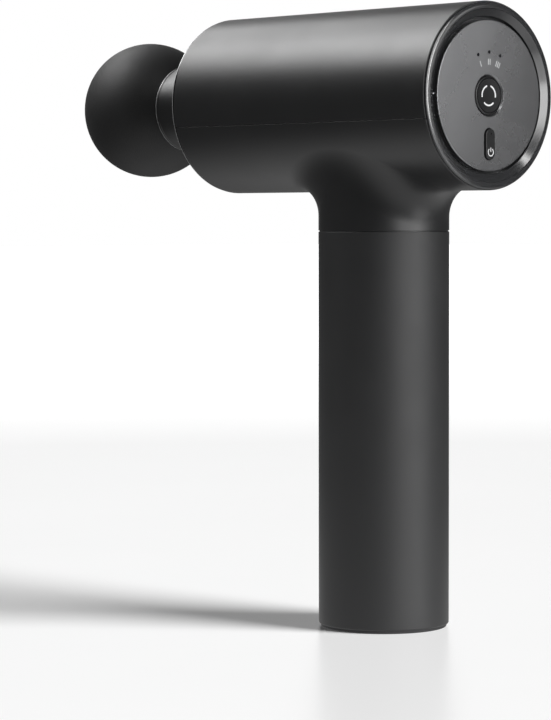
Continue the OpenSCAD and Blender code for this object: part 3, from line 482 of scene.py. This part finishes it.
def meeting(heading):
    """The angle round the neck whose contact with the barrel lies at a heading in the
    barrel's unrolled surface, and that contact as (x, arc length)."""
    low, high = 0.0, math.pi
    for _ in range(HALVINGS):
        a = (low + high) / 2
        p = blend_point(a, 1)[0]
        s = BARREL_R * math.atan2(p.y, AXIS_Z - p.z)
        if math.atan2(s, p.x) < abs(heading):
            low = a
        else:
            high = a
    sign = 1 if heading >= 0 else -1
    return sign * a, p.x, sign * s


def unrolled(x, s, radius=BARREL_R):
    """A point of the barrel's surface from x and the arc length from straight down."""
    a = s / BARREL_R
    return Vector((x, radius * math.sin(a), AXIS_Z - radius * math.cos(a)))


def rounded_edge(x, s, ox, os):
    """Rows that turn a shell's edge in: (ox, os) points out of the shell in the surface."""
    a = s / BARREL_R
    n = Vector((0, math.sin(a), -math.cos(a)))
    t = X * ox + Vector((0, math.cos(a), math.sin(a))) * os
    made = []
    for w in ROUND:
        p = unrolled(x, s, BARREL_R - EDGE * (1 - math.cos(w))) + t * EDGE * math.sin(w)
        made.append((p, (n * math.cos(w) + t * math.sin(w)).normalized()))
    return made


def lower_edge(limit):
    """Points (x, arc length) round the lower shell's outline. The arc length runs from straight
    down, and limit is where it meets the parting line."""
    length = SHELL_BACK - SHELL_FRONT
    front = [(SHELL_FRONT, -limit + 2 * limit * i / ROWS_ROUND) for i in range(ROWS_ROUND)]
    left = [(SHELL_FRONT + length * i / ROWS_ALONG, limit) for i in range(ROWS_ALONG)]
    back = [(SHELL_BACK, limit - 2 * limit * i / ROWS_ROUND) for i in range(ROWS_ROUND)]
    right = [(SHELL_BACK - length * i / ROWS_ALONG, -limit) for i in range(ROWS_ALONG)]
    return front + left + back + right


def lower_column(x, s, limit):
    """Points and normals from the neck's bottom edge, over the blend, to a point of the outline."""
    xi = max(SHELL_BACK + EDGE, min(SHELL_FRONT - EDGE, x))
    si = max(-limit + EDGE, min(limit - EDGE, s))
    a, qx, qs = meeting(math.atan2(si, xi))
    column = []
    out = Vector((math.cos(a), math.sin(a), 0))
    for w in ROUND[::-1] + [0.0]:
        column.append((out * (NECK_R - EDGE + EDGE * math.cos(w))
                       + Z * (NECK_BOTTOM + EDGE - EDGE * math.sin(w)),
                       out * math.cos(w) - Z * math.sin(w)))
    start = blend_point(a, 0)[0]
    column.append((out * NECK_R + Z * (start.z + NECK_BOTTOM + EDGE) / 2, out))
    for k in range(BLEND_ROWS + 1):
        column.append(blend(a, k / BLEND_ROWS))
    for k in range(1, BARREL_ROWS + 1):
        t = k / BARREL_ROWS
        px, ps = qx + (xi - qx) * t, qs + (si - qs) * t
        w = ps / BARREL_R
        column.append((unrolled(px, ps), Vector((0, math.sin(w), -math.cos(w)))))
    return column + rounded_edge(xi, si, (x - xi) / EDGE, (s - si) / EDGE)


def lower_shell():
    skin = Skin()
    limit = BARREL_R * math.acos(-(PARTING - PARTING_GAP / 2) / BARREL_R)
    columns = [lower_column(x, s, limit) for x, s in lower_edge(limit)]
    rows = [([c[i][0] for c in columns], [c[i][1] for c in columns])
            for i in range(len(columns[0]))]
    skin.rows(rows, True)

    spots = []
    for i in range(SPOT_ROUND):
        for k in range(SPOT_ROWS + 1):
            spots.append(blend(2 * math.pi * i / SPOT_ROUND, k / SPOT_ROWS))
    near = KDTree(len(spots))
    for i, spot in enumerate(spots):
        near.insert(spot[0], i)
    near.balance()

    def inner(c, n):
        """Leaves out the barrel's outside, the neck's outside and the blend between them."""
        rho = math.hypot(c.x, c.y)
        if abs(radius_of(c) - BARREL_R) < 0.15 and Vector((0, c.y, c.z - AXIS_Z)).dot(n) > 30:
            return False
        if abs(rho - NECK_R) < 0.15 and c.z < AXIS_Z - 20 and (c.x * n.x + c.y * n.y) > 20:
            return False
        i, away = near.find(c)[1:]
        p, way = spots[i]
        return not (away < 2 and abs((c - p).dot(way)) < 0.4 and n.dot(way) > 0.7)

    def tucked(p):
        """Pulls the kept faces' outer borders in to the rounded edges."""
        if abs(radius_of(p) - BARREL_R) < 0.1:
            return pulled(p, BARREL_R - EDGE)
        rho = math.hypot(p.x, p.y)
        if rho > NECK_R - 0.05 and p.z < NECK_BOTTOM + 0.1:
            k = (NECK_R - EDGE) / rho
            return Vector((p.x * k, p.y * k, p.z))
        return p

    skin.turn(profile([(SPIGOT_R, NECK_BOTTOM + 0.05), (SPIGOT_R, SPIGOT_BOTTOM),
                       (SPIGOT_BORE, SPIGOT_BOTTOM)]), POST, MIDDLE)
    skin.cad("lower_housing", inner, tucked)
    return skin.make("lower_shell", "shell", "housing", "lower_housing")


def edged(low, high, count):
    """Steps from low to high with a rounded edge at each end: (place, tilt, sinking)."""
    low, high = low + EDGE, high - EDGE
    made = [(low - EDGE * math.sin(w), -math.sin(w), 1 - math.cos(w)) for w in ROUND[::-1]]
    made += [(low + (high - low) * k / count, 0, 0) for k in range(count + 1)]
    return made + [(high + EDGE * math.sin(w), math.sin(w), 1 - math.cos(w)) for w in ROUND]


def upper_shell():
    skin = Skin()
    limit = BARREL_R * math.acos((PARTING + PARTING_GAP / 2) / BARREL_R)
    rows = []
    for x, nx, dx in edged(SHELL_BACK, SHELL_FRONT, 6):
        points, normals = [], []
        for s, ns, ds in edged(-limit, limit, 132):
            a = s / BARREL_R
            r = BARREL_R - EDGE * max(dx, ds)
            points.append(Vector((x, r * math.sin(a), AXIS_Z + r * math.cos(a))))
            n = Vector((0, math.sin(a), math.cos(a))) * (1 - max(dx, ds))
            n += X * nx + Vector((0, math.cos(a), -math.sin(a))) * ns
            normals.append(n.normalized())
        rows.append((points, normals))
    skin.rows(rows)

    def inner(c, n):
        at_parting = abs(n.z) > 0.999 and c.z < AXIS_Z
        return abs(n.x) > 0.95 or at_parting or radius_of(c) < BARREL_R - 1.55

    def tucked(p):
        return pulled(p, BARREL_R - EDGE) if radius_of(p) > BARREL_R - 0.1 else p

    skin.cad("upper_housing", inner, tucked)
    return skin.make("upper_shell", "shell", "housing", "upper_housing")


lower_shell()
upper_shell()


# ---- Ends of the barrel -----------------------------------------------------------------
BEZEL_BACK = -54.5
LIP_R = 32.7  # the lip is half an ellipse round this radius, and a little more
LIP_HALF = 2
LIP_RISE = 0.9
LIP_STEPS = 14
LIP_STEP = math.radians(7.5)
GROOVE_R = 29.5  # the black groove round the panel
GROOVE_TOP = -53.8
GROOVE_BOTTOM = -51.8


def rear_bezel():
    skin = Skin()
    lip = profile([(LIP_R + 1.3, BEZEL_BACK), (LIP_R + LIP_HALF, BEZEL_BACK)])
    for k in range(LIP_STEPS):
        piece = []
        for a in (LIP_STEP * k, LIP_STEP * (k + 1)):
            n = Vector((math.cos(a) / LIP_HALF, -math.sin(a) / LIP_RISE)).normalized()
            piece += [Vector((LIP_R + LIP_HALF * math.cos(a), BEZEL_BACK - LIP_RISE * math.sin(a))), n]
        lip.append(tuple(piece))
    last = lip[-1][2]
    lip += profile([last, (GROOVE_R, GROOVE_TOP, 0.25), (GROOVE_R, GROOVE_BOTTOM)], steps=6)
    skin.turn(lip, BARREL, LARGE)

    def inner(c, n):
        """Leaves out the lip, the bowl and the groove's wall."""
        if c.x < BEZEL_BACK - 0.05:
            return False
        return not (c.x < GROOVE_BOTTOM - 0.05 and abs(n.x) < 0.95 and radius_of(c) < 32)

    skin.cad("rear_bezel", inner)
    return skin.make("bezel", "shell", "housing", "rear_bezel", finish="trim")


def circle(axis, r, h, steps):
    origin, along, u, v = axis
    return [origin + along * h + (u * math.cos(2 * math.pi * i / steps)
                                  + v * math.sin(2 * math.pi * i / steps)) * r
            for i in range(steps)]


PANEL_R = 28.1
PANEL_FACE = -54.7
PANEL_EDGE = 27.7  # where the flat face ends and its rounding starts
PANEL_DEEP = -52.1  # the depth that the panel's edge and holes are remade to
DIMPLE_R = 8.1  # the chamfered hole round the speed button
BUTTON_HOLE = 7.4
LAMP_R, LAMP_HOLE = 0.7, 0.65
LAMP_REACH = 16.1  # how far the lamps lie from the panel's centre
LAMP_ANGLE = 22  # degrees from one lamp to the next
POWER_UP = -18.05
SLOT_LENGTH, SLOT_WIDTH = 12, 5.3  # the power key's slot in the panel
KEY_LENGTH, KEY_WIDTH = 11.6, 4.9
KEY_BACK = -51.95


CORNER_STEPS = 24


def capsule(length, width, offset, x):
    """A round-ended outline on the panel, long in height, with its outward normals."""
    r = width / 2
    reach = (length - width) / 2
    points, normals = [], []
    for end in (1, -1):
        for k in range(CORNER_STEPS + 1):
            a = math.pi * (k / CORNER_STEPS - 0.5) + (0 if end > 0 else math.pi)
            n = Vector((0, math.sin(a), math.cos(a)))
            points.append(Vector((x, 0, AXIS_Z + POWER_UP + end * reach)) + n * (r + offset))
            normals.append(n)
    return points, normals


def edge_rows(length, width, x, e, out, deep):
    """Rows over a capsule's edge, rounded by e, and down its wall from x to deep: out is 1 for a
    key and -1 for the slot round it."""
    made = []
    for k in range(6):
        w = math.radians(90 * k / 5)
        points, normals = capsule(length, width, -out * e * (1 - math.sin(w)),
                                  x + e * (1 - math.cos(w)))
        made.append((points, [(n * out * math.sin(w) - X * math.cos(w)).normalized()
                              for n in normals]))
    points, normals = capsule(length, width, 0, deep)
    made.append((points, [n * out for n in normals]))
    return made


def control_panel():
    skin = Skin()
    rim = [(PANEL_EDGE, PANEL_FACE), (PANEL_R, PANEL_FACE, 0.3), (PANEL_R, PANEL_DEEP)]
    skin.turn(profile(rim, side=-1), BARREL, LARGE)
    hole = [(DIMPLE_R, PANEL_FACE), (DIMPLE_R - 0.15, PANEL_FACE, 0.1),
            (BUTTON_HOLE, PANEL_FACE + 0.55, 0.1), (BUTTON_HOLE, PANEL_DEEP)]
    skin.turn(profile(hole), BARREL, SMALL)
    slot = edge_rows(SLOT_LENGTH, SLOT_WIDTH, PANEL_FACE, 0.15, -1, PANEL_DEEP)
    skin.rows(slot, True)
    loops = [circle(BARREL, PANEL_EDGE, PANEL_FACE, LARGE),
             circle(BARREL, DIMPLE_R, PANEL_FACE, SMALL), slot[0][0]]
    lamp = [(LAMP_R, PANEL_FACE), (LAMP_HOLE, PANEL_FACE + 0.05), (LAMP_HOLE, PANEL_DEEP)]
    for k in (-1, 0, 1):
        a = math.radians(LAMP_ANGLE * k)
        axis = on_panel(LAMP_REACH * math.cos(a), LAMP_REACH * math.sin(a))
        skin.turn(profile(lamp), axis, TINY)
        loops.append(circle(axis, LAMP_R, PANEL_FACE, TINY))
    skin.plate(loops, -X)
    skin.cad("control_panel", lambda c, n: c.x > PANEL_DEEP - 0.4)
    return skin.make("panel", "panel", "housing", "control_panel")


def raised_arc(icon, up, radii, start, sweep, steps, lift, height, ends):
    """A raised arc on a key, centred at a height from the barrel's axis. height(r) is the key's
    face, which the arc stands proud of by lift."""
    centre = Z * (AXIS_Z + up)
    low, high = radii
    rows = []
    for r, raised, n in ((low, 0, -1), (low, lift, -1), (low, lift, 0),
                         (high, lift, 0), (high, lift, 1), (high, 0, 1)):
        points, normals = [], []
        for k in range(steps + 1):
            a = math.radians(start + sweep * k / steps)
            w = Y * math.sin(a) + Z * math.cos(a)
            points.append(centre + X * (height(r) - raised) + w * r)
            normals.append(w * n if n else -X)
        rows.append((points, normals))
    icon.rows(rows)
    if not ends:
        return
    for a, sense in ((start, -1), (start + sweep, 1)):
        w = math.radians(a)
        out = Y * math.sin(w) + Z * math.cos(w)
        across = (Y * math.cos(w) - Z * math.sin(w)) * sense
        corners = [centre + X * (height(r) - raised) + out * r
                   for r, raised in ((low, 0), (low, lift), (high, lift), (high, 0))]
        icon.face(corners, [across] * 4)


BUTTON_R = 7.2
BUTTON_FACE = -54.6
DISH_R = 6.6
DISH_DEPTH = 0.2
DISH_STEPS = 13
RING_ARCS = ((15, 85), (135, 90), (-100, 85))  # start and sweep in degrees
RING_RADII = (3.35, 3.95)


def dish(r):
    """Height of the speed button's face at a radius: a shallow hollow."""
    return BUTTON_FACE + DISH_DEPTH * max(0.0, 1 - (r / DISH_R) ** 2)


def speed_button():
    skin = Skin()
    hollow = []
    for k in range(DISH_STEPS):
        piece = []
        for r in (DISH_R * k / DISH_STEPS, DISH_R * (k + 1) / DISH_STEPS):
            slope = -2 * DISH_DEPTH * r / DISH_R ** 2
            piece += [Vector((r, dish(r))), Vector((slope, -1)).normalized()]
        hollow.append(tuple(piece))
    skin.turn(hollow, BARREL, SMALL)
    rim = [(DISH_R, BUTTON_FACE), (BUTTON_R, BUTTON_FACE, 0.5), (BUTTON_R, KEY_BACK)]
    skin.turn(profile(rim, side=-1), BARREL, SMALL)

    def inner(c, n):
        wall = abs(n.x) < 0.2 and BUTTON_R - 0.2 < radius_of(c) < BUTTON_R + 0.1
        return c.x > KEY_BACK - 0.05 and not wall

    skin.cad("speed_button", inner)
    skin.make("speed_cap", "button", "speed_key", "speed_button")
    icon = Skin()
    for start, sweep in RING_ARCS:
        raised_arc(icon, 0, RING_RADII, start, sweep, 24, 0.03, dish, True)
    icon.make("speed_ring", "mark", "speed_key", finish="icon")


POWER_FACE = -55.55
DIMPLE_UP = -14.2
SYMBOL_UP = -21.0
SYMBOL_R = 1.4
STROKE_HALF = 0.19
SYMBOL_LIFT = 0.02


def power_button():
    skin = Skin()
    rows = edge_rows(KEY_LENGTH, KEY_WIDTH, POWER_FACE, 0.35, 1, KEY_BACK)
    skin.rows(rows, True)
    axis = on_panel(DIMPLE_UP)
    bottom = POWER_FACE + 0.25
    dimple = [(0, bottom), (0.5, bottom, 0.1), (0.6, POWER_FACE)]
    skin.turn(profile(dimple, side=-1), axis, TINY)
    skin.plate([rows[0][0], circle(axis, 0.6, POWER_FACE, TINY)], -X)
    skin.cad("power_button", lambda c, n: c.x > KEY_BACK - 0.05)
    skin.make("power_cap", "button", "power_key", "power_button")
    icon = Skin()
    radii = (SYMBOL_R - STROKE_HALF, SYMBOL_R + STROKE_HALF)
    raised_arc(icon, SYMBOL_UP, radii, 36, 288, 40, SYMBOL_LIFT, lambda r: POWER_FACE, False)
    centre = Vector((POWER_FACE, 0, AXIS_Z + SYMBOL_UP))
    low, high = 0.15, 1.75
    bar = [(-STROKE_HALF, low), (STROKE_HALF, low), (STROKE_HALF, high), (-STROKE_HALF, high)]
    top = [centre - X * SYMBOL_LIFT + Y * y + Z * z for y, z in bar]
    foot = [centre + Y * y + Z * z for y, z in bar]
    middle = sum(top, Vector((0, 0, 0))) / 4
    icon.face(top, [-X] * 4)
    for i in range(4):
        j = (i + 1) % 4
        side = ((top[i] + top[j]) / 2 - middle).normalized()
        icon.face([top[i], top[j], foot[j], foot[i]], [side] * 4)
    icon.make("power_symbol", "mark", "power_key", finish="icon")


# How far the painted highlight bands stand out from the surface they cover.
EDGE_LIFT = 0.02


def painted_highlight_band(r, h, down, inward, steps):
    """A thin light grey band over the outer edge of a turned shape's face: a painted highlight on its
    rim.
    """
    skin = Skin()
    top = h + EDGE_LIFT
    band = [(r + EDGE_LIFT, h - down), (r + EDGE_LIFT, top, 0.3), (r - inward, top)]
    skin.turn(profile(band), BARREL, steps)
    return skin


NOSE_FACE = 84
NOSE_R = 34.85


def front_cap():
    skin = Skin()
    ring = [(15, 82.3), (30.6, 82.3), (30.6, 79.8), (32.8, 79.8, 0.3), (32.8, 82.9),
            (NOSE_R, 82.9, 0.15), (NOSE_R, NOSE_FACE, 0.5), (15, NOSE_FACE, 0.3)]
    skin.turn(profile(ring, closed=True), BARREL, LARGE)
    skin.make("nose_ring", "shell", "housing", "front_cap", finish="trim")
    # The front cap's rim gets a light grey band: a painted highlight.
    skin = painted_highlight_band(NOSE_R, NOSE_FACE, 0.4, 0.35, LARGE)
    skin.make("nose_painted_highlight", "shell", "housing", finish="edge")
    skin = Skin()
    bellows = [(11.4, 82.6, 0.2), (12.8, 82.2, 0.3), (15, 82.2), (15, NOSE_FACE), (17, NOSE_FACE),
               (17, 84.8, 0.35), (12.2, 85.6, 0.5), (11.4, 85, 0.3)]
    skin.turn(profile(bellows, closed=True), BARREL, MIDDLE)
    skin.make("nose_bellows", "seal", "housing", "nose_seal")


BALL_X = 136.8
BALL_R = 27.9
CORE_R = 28  # the cup's hollow
SKIN_IN_R = 21.95
SKIN_BORE = 8.2
STEM_R = 8
NECK_DOWN_R = 10.5
CUP_BACK = 104
CUP_R = 17.3
CUP_RIM_R = 17.46
CUP_RIM = 114
CUP_MOUTH_R = 16.25
BASE_BORE = 8.05


def massage_head():
    skin = Skin()
    stem = [(0, 61.5), (STEM_R, 61.5, 0.7), (STEM_R, 70.25), (6.8, 70.25, 0.2), (6.8, 71.75, 0.2),
            (STEM_R, 71.75), (STEM_R, 86.3), (NECK_DOWN_R, 86.3, 0.4), (NECK_DOWN_R, 94.5)]
    flare = [(NECK_DOWN_R, 94.5), (11.2, 96.6), (13.2, 99), (15.6, 100.8), (16.9, 102.2),
             (CUP_R, CUP_BACK)]
    cup = [(CUP_R, CUP_BACK), (CUP_R, 112.6, 0.4), (CUP_RIM_R, 112.9, 0.2), (CUP_RIM_R, CUP_RIM, 0.45),
           (CUP_MOUTH_R, CUP_RIM)]
    outline = profile(stem) + curve_profile(flare, 6) + profile(cup)
    mouth, bore = math.asin(CUP_MOUTH_R / CORE_R), math.asin(BASE_BORE / CORE_R)
    outline += arc_profile(BALL_X, CORE_R, math.pi - mouth, math.pi - bore, 16, -1)
    outline += profile([(BASE_BORE, 109.98), (BASE_BORE, 99, 0.4), (0, 99)])
    skin.turn(outline, BARREL, MIDDLE)
    skin.make("head_cup", "head_base", "head", "head_base")
    # The cup's rim gets a light grey band: a painted highlight.
    skin = painted_highlight_band(CUP_RIM_R, CUP_RIM, 0.45, 0.36, MIDDLE)
    skin.make("cup_painted_highlight", "head_base", "head", finish="edge")
    skin = Skin()
    bore_out, bore_in = math.asin(SKIN_BORE / BALL_R), math.asin(SKIN_BORE / SKIN_IN_R)
    outline = arc_profile(BALL_X, BALL_R, 0, math.pi - bore_out, 84)
    outline += profile([(SKIN_BORE, 110.133), (SKIN_BORE, 116.44)], side=-1)
    outline += arc_profile(BALL_X, SKIN_IN_R, math.pi - bore_in, 0, 48, -1)
    skin.turn(outline, BARREL, MIDDLE)
    skin.make("ball", "ball", "head", "ball_skin")


GRIP_R = 25.25
GRIP_BOTTOM = 1.2
GRIP_TOP = 153
TOP_R = 24.95  # the top edge after its rounding
FOOT_R = 24.4


def handle():
    skin = Skin()
    tube = [(24.65, GRIP_BOTTOM), (GRIP_R, GRIP_BOTTOM, 0.6), (GRIP_R, GRIP_TOP, 0.3),
            (TOP_R, GRIP_TOP)]
    skin.turn(profile(tube, steps=6), POST, LARGE)

    def inner(c, n):
        return math.hypot(c.x, c.y) < 24.5 or abs(n.z) > 0.95

    def tucked(p):
        rho = math.hypot(p.x, p.y)
        if rho > GRIP_R - 0.25 and p.z > GRIP_TOP - 3:
            return Vector((p.x * TOP_R / rho, p.y * TOP_R / rho, p.z))
        return p

    skin.cad("handle_tube", inner, tucked)
    skin.make("grip", "handle", "housing", "handle_tube")
    skin = Skin()
    skin.turn(profile([(23.9, 0), (FOOT_R, 0, 0.45), (FOOT_R, GRIP_BOTTOM)]), POST, MIDDLE)
    skin.cad("base_pad", lambda c, n: abs(n.z) > 0.95 or math.hypot(c.x, c.y) < 23.5)
    skin.make("foot", "seal", "housing", "base_pad")


rear_bezel()
control_panel()
speed_button()
power_button()
front_cap()
massage_head()
handle()


# ---- Stage and light --------------------------------------------------------------------
# The camera sees a white floor and world. What the object reflects of them is mostly dark, as in
# a studio with black cloths, and the softboxes draw its highlights. Sizes are in metres.
FLOOR_REACH = 12
FLOOR_SEEN, FLOOR_REFLECTED = 0.8, 0.06  # the floor's tone to the camera and in reflections
FLOOR_NEAR, FLOOR_FAR = 0.03, 0.6  # its glow to the camera, between these distances
SEEN_FROM, SEEN_TO = 0.9, 2.6
FLOOR_LIT, FLOOR_DARK = 0.9, 0.05  # its glow in reflections, between these distances
LIT_FROM, LIT_TO = 0.18, 0.38
WORLD_DARK, WORLD_BACKDROP = 0.06, 0.75  # the world in reflections, and its bright backdrop
BACKDROP = Vector((0.722, -0.687, 0.10)).normalized()
BACKDROP_EDGE, BACKDROP_FULL = 0.93, 0.985  # cosines of the angle from the backdrop's middle
AIM = (0.02, 0, 0.16)
PANEL_CENTRE = (-0.055, 0, 0.2035)


def add_floor():
    mesh = bpy.data.meshes.new("floor")
    corners = [(-1, -1), (1, -1), (1, 1), (-1, 1)]
    mesh.from_pydata([(x * FLOOR_REACH, y * FLOOR_REACH, 0) for x, y in corners],
                     [], [(0, 1, 2, 3)])
    floor = bpy.data.objects.new("floor", mesh)
    scene.collection.objects.link(floor)
    mat, tree, shader = tree_of("floor")
    vector = stretched(tree, (1, 1, 1))
    cloud = noise(tree, vector, 3, 3.0)
    shade = add(tree, "ShaderNodeMix", data_type="RGBA")
    shade.inputs["A"].default_value = [FLOOR_REFLECTED] * 3 + [1]
    tinted(tree, cloud, [FLOOR_SEEN] * 3, 0.01, shade.inputs["B"])
    tree.links.new(shade.outputs["Result"], shader.inputs["Base Color"])
    shader.inputs["Roughness"].default_value = 0.3
    shader.inputs["Emission Color"].default_value = (1, 1, 1, 1)
    length = add(tree, "ShaderNodeVectorMath", operation="LENGTH")
    tree.links.new(vector, length.inputs[0])
    distance = length.outputs["Value"]
    glow = ranged(tree, distance, FLOOR_NEAR, FLOOR_FAR, SEEN_FROM, SEEN_TO)
    lit = ranged(tree, distance, FLOOR_LIT, FLOOR_DARK, LIT_FROM, LIT_TO)
    path = add(tree, "ShaderNodeLightPath")
    seen = add(tree, "ShaderNodeMix", data_type="FLOAT")
    tree.links.new(lit, seen.inputs["A"])
    tree.links.new(path.outputs["Is Camera Ray"], shade.inputs["Factor"])
    tree.links.new(path.outputs["Is Camera Ray"], seen.inputs["Factor"])
    tree.links.new(glow, seen.inputs["B"])
    tree.links.new(seen.outputs["Result"], shader.inputs["Emission Strength"])
    mesh.materials.append(mat)
    return floor


def add_world():
    world = bpy.data.worlds.new("studio")
    scene.world = world
    world.use_nodes = True
    tree = world.node_tree
    reflected = tree.nodes["Background"]
    reflected.inputs["Color"].default_value = (1, 1, 1, 1)
    coord = add(tree, "ShaderNodeTexCoord")
    facing = add(tree, "ShaderNodeVectorMath", operation="DOT_PRODUCT")
    facing.inputs[1].default_value = BACKDROP
    tree.links.new(coord.outputs["Generated"], facing.inputs[0])
    backdrop = ranged(tree, facing.outputs["Value"], WORLD_DARK, WORLD_BACKDROP,
                      BACKDROP_EDGE, BACKDROP_FULL)
    tree.links.new(backdrop, reflected.inputs["Strength"])
    seen = add(tree, "ShaderNodeBackground")
    seen.inputs["Color"].default_value = (1, 1, 1, 1)
    path = add(tree, "ShaderNodeLightPath")
    mix = add(tree, "ShaderNodeMixShader")
    tree.links.new(path.outputs["Is Camera Ray"], mix.inputs["Fac"])
    tree.links.new(reflected.outputs["Background"], mix.inputs[1])
    tree.links.new(seen.outputs["Background"], mix.inputs[2])
    tree.links.new(mix.outputs["Shader"], tree.nodes["World Output"].inputs["Surface"])


def linked(light, pieces, wanted):
    """Lets a light reach only the pieces if they are wanted, or else everything but them."""
    group = bpy.data.collections.new(light.name + "_reach")
    for piece in pieces:
        group.objects.link(piece)
    light.light_linking.receiver_collection = group
    for entry in group.collection_objects:
        entry.light_linking.link_state = "INCLUDE" if wanted else "EXCLUDE"


def placed(light, direction, distance, centre=AIM):
    """Puts a light in a direction from its aim, turned to it and level."""
    away = Vector(direction).normalized()
    across = (Y - away * Y.dot(away)).normalized()
    m = Matrix((across, away.cross(across), away)).transposed().to_4x4()
    m.translation = Vector(centre) + away * distance
    light.matrix_world = m


def softbox(name, direction, distance, size, power, pieces=(), wanted=False, centre=AIM):
    """A light that reaches only the pieces if they are wanted, or else all but them and the floor."""
    data = bpy.data.lights.new(name, "AREA")
    data.shape = "RECTANGLE"
    data.size, data.size_y = size
    data.energy = power
    light = bpy.data.objects.new(name, data)
    scene.collection.objects.link(light)
    light.visible_camera = False
    placed(light, direction, distance, centre)
    linked(light, list(pieces) if wanted else [FLOOR] + list(pieces), wanted)


def floor_sun(direction, strength, spread):
    data = bpy.data.lights.new("floor_key", "SUN")
    data.energy = strength
    data.angle = math.radians(spread)
    light = bpy.data.objects.new("floor_key", data)
    scene.collection.objects.link(light)
    placed(light, direction, 2)
    linked(light, [FLOOR], True)


FLOOR = add_floor()
add_world()
REAR = [scene.objects[name] for name in ("panel", "bezel")]
BEZEL = REAR[1:]
KEYS = [scene.objects[name] for name in ("speed_cap", "speed_ring", "power_cap", "power_symbol")]
floor_sun((-0.933, -0.361, 0.62), 7.2, 32)
softbox("overhead", (0.60, 0.35, 0.72), 1.2, (0.6, 0.5), 10.5)
softbox("overhead_right", (0.72, -0.12, 0.68), 1.2, (0.6, 0.5), 3.8)
softbox("side", (-0.97, 0.22, 0.35), 1.6, (0.4, 1.9), 20)
softbox("side_right", (-0.97, -0.18, 0.10), 1.6, (0.3, 1.0), 10)
softbox("right", (-0.88, -0.45, 0.3), 1.4, (0.25, 0.5), 5, REAR + KEYS)
softbox("near", (-0.80, -0.58, 0.2), 0.45, (0.12, 0.2), 0.22, REAR, True, PANEL_CENTRE)
softbox("lip", (-0.967, -0.266, 0.15), 1.2, (0.12, 1.6), 14, BEZEL, True, PANEL_CENTRE)
softbox("bowl", (-0.93, 0.15, 0.12), 0.3, (0.13, 0.6), 0.9, BEZEL, True, PANEL_CENTRE)
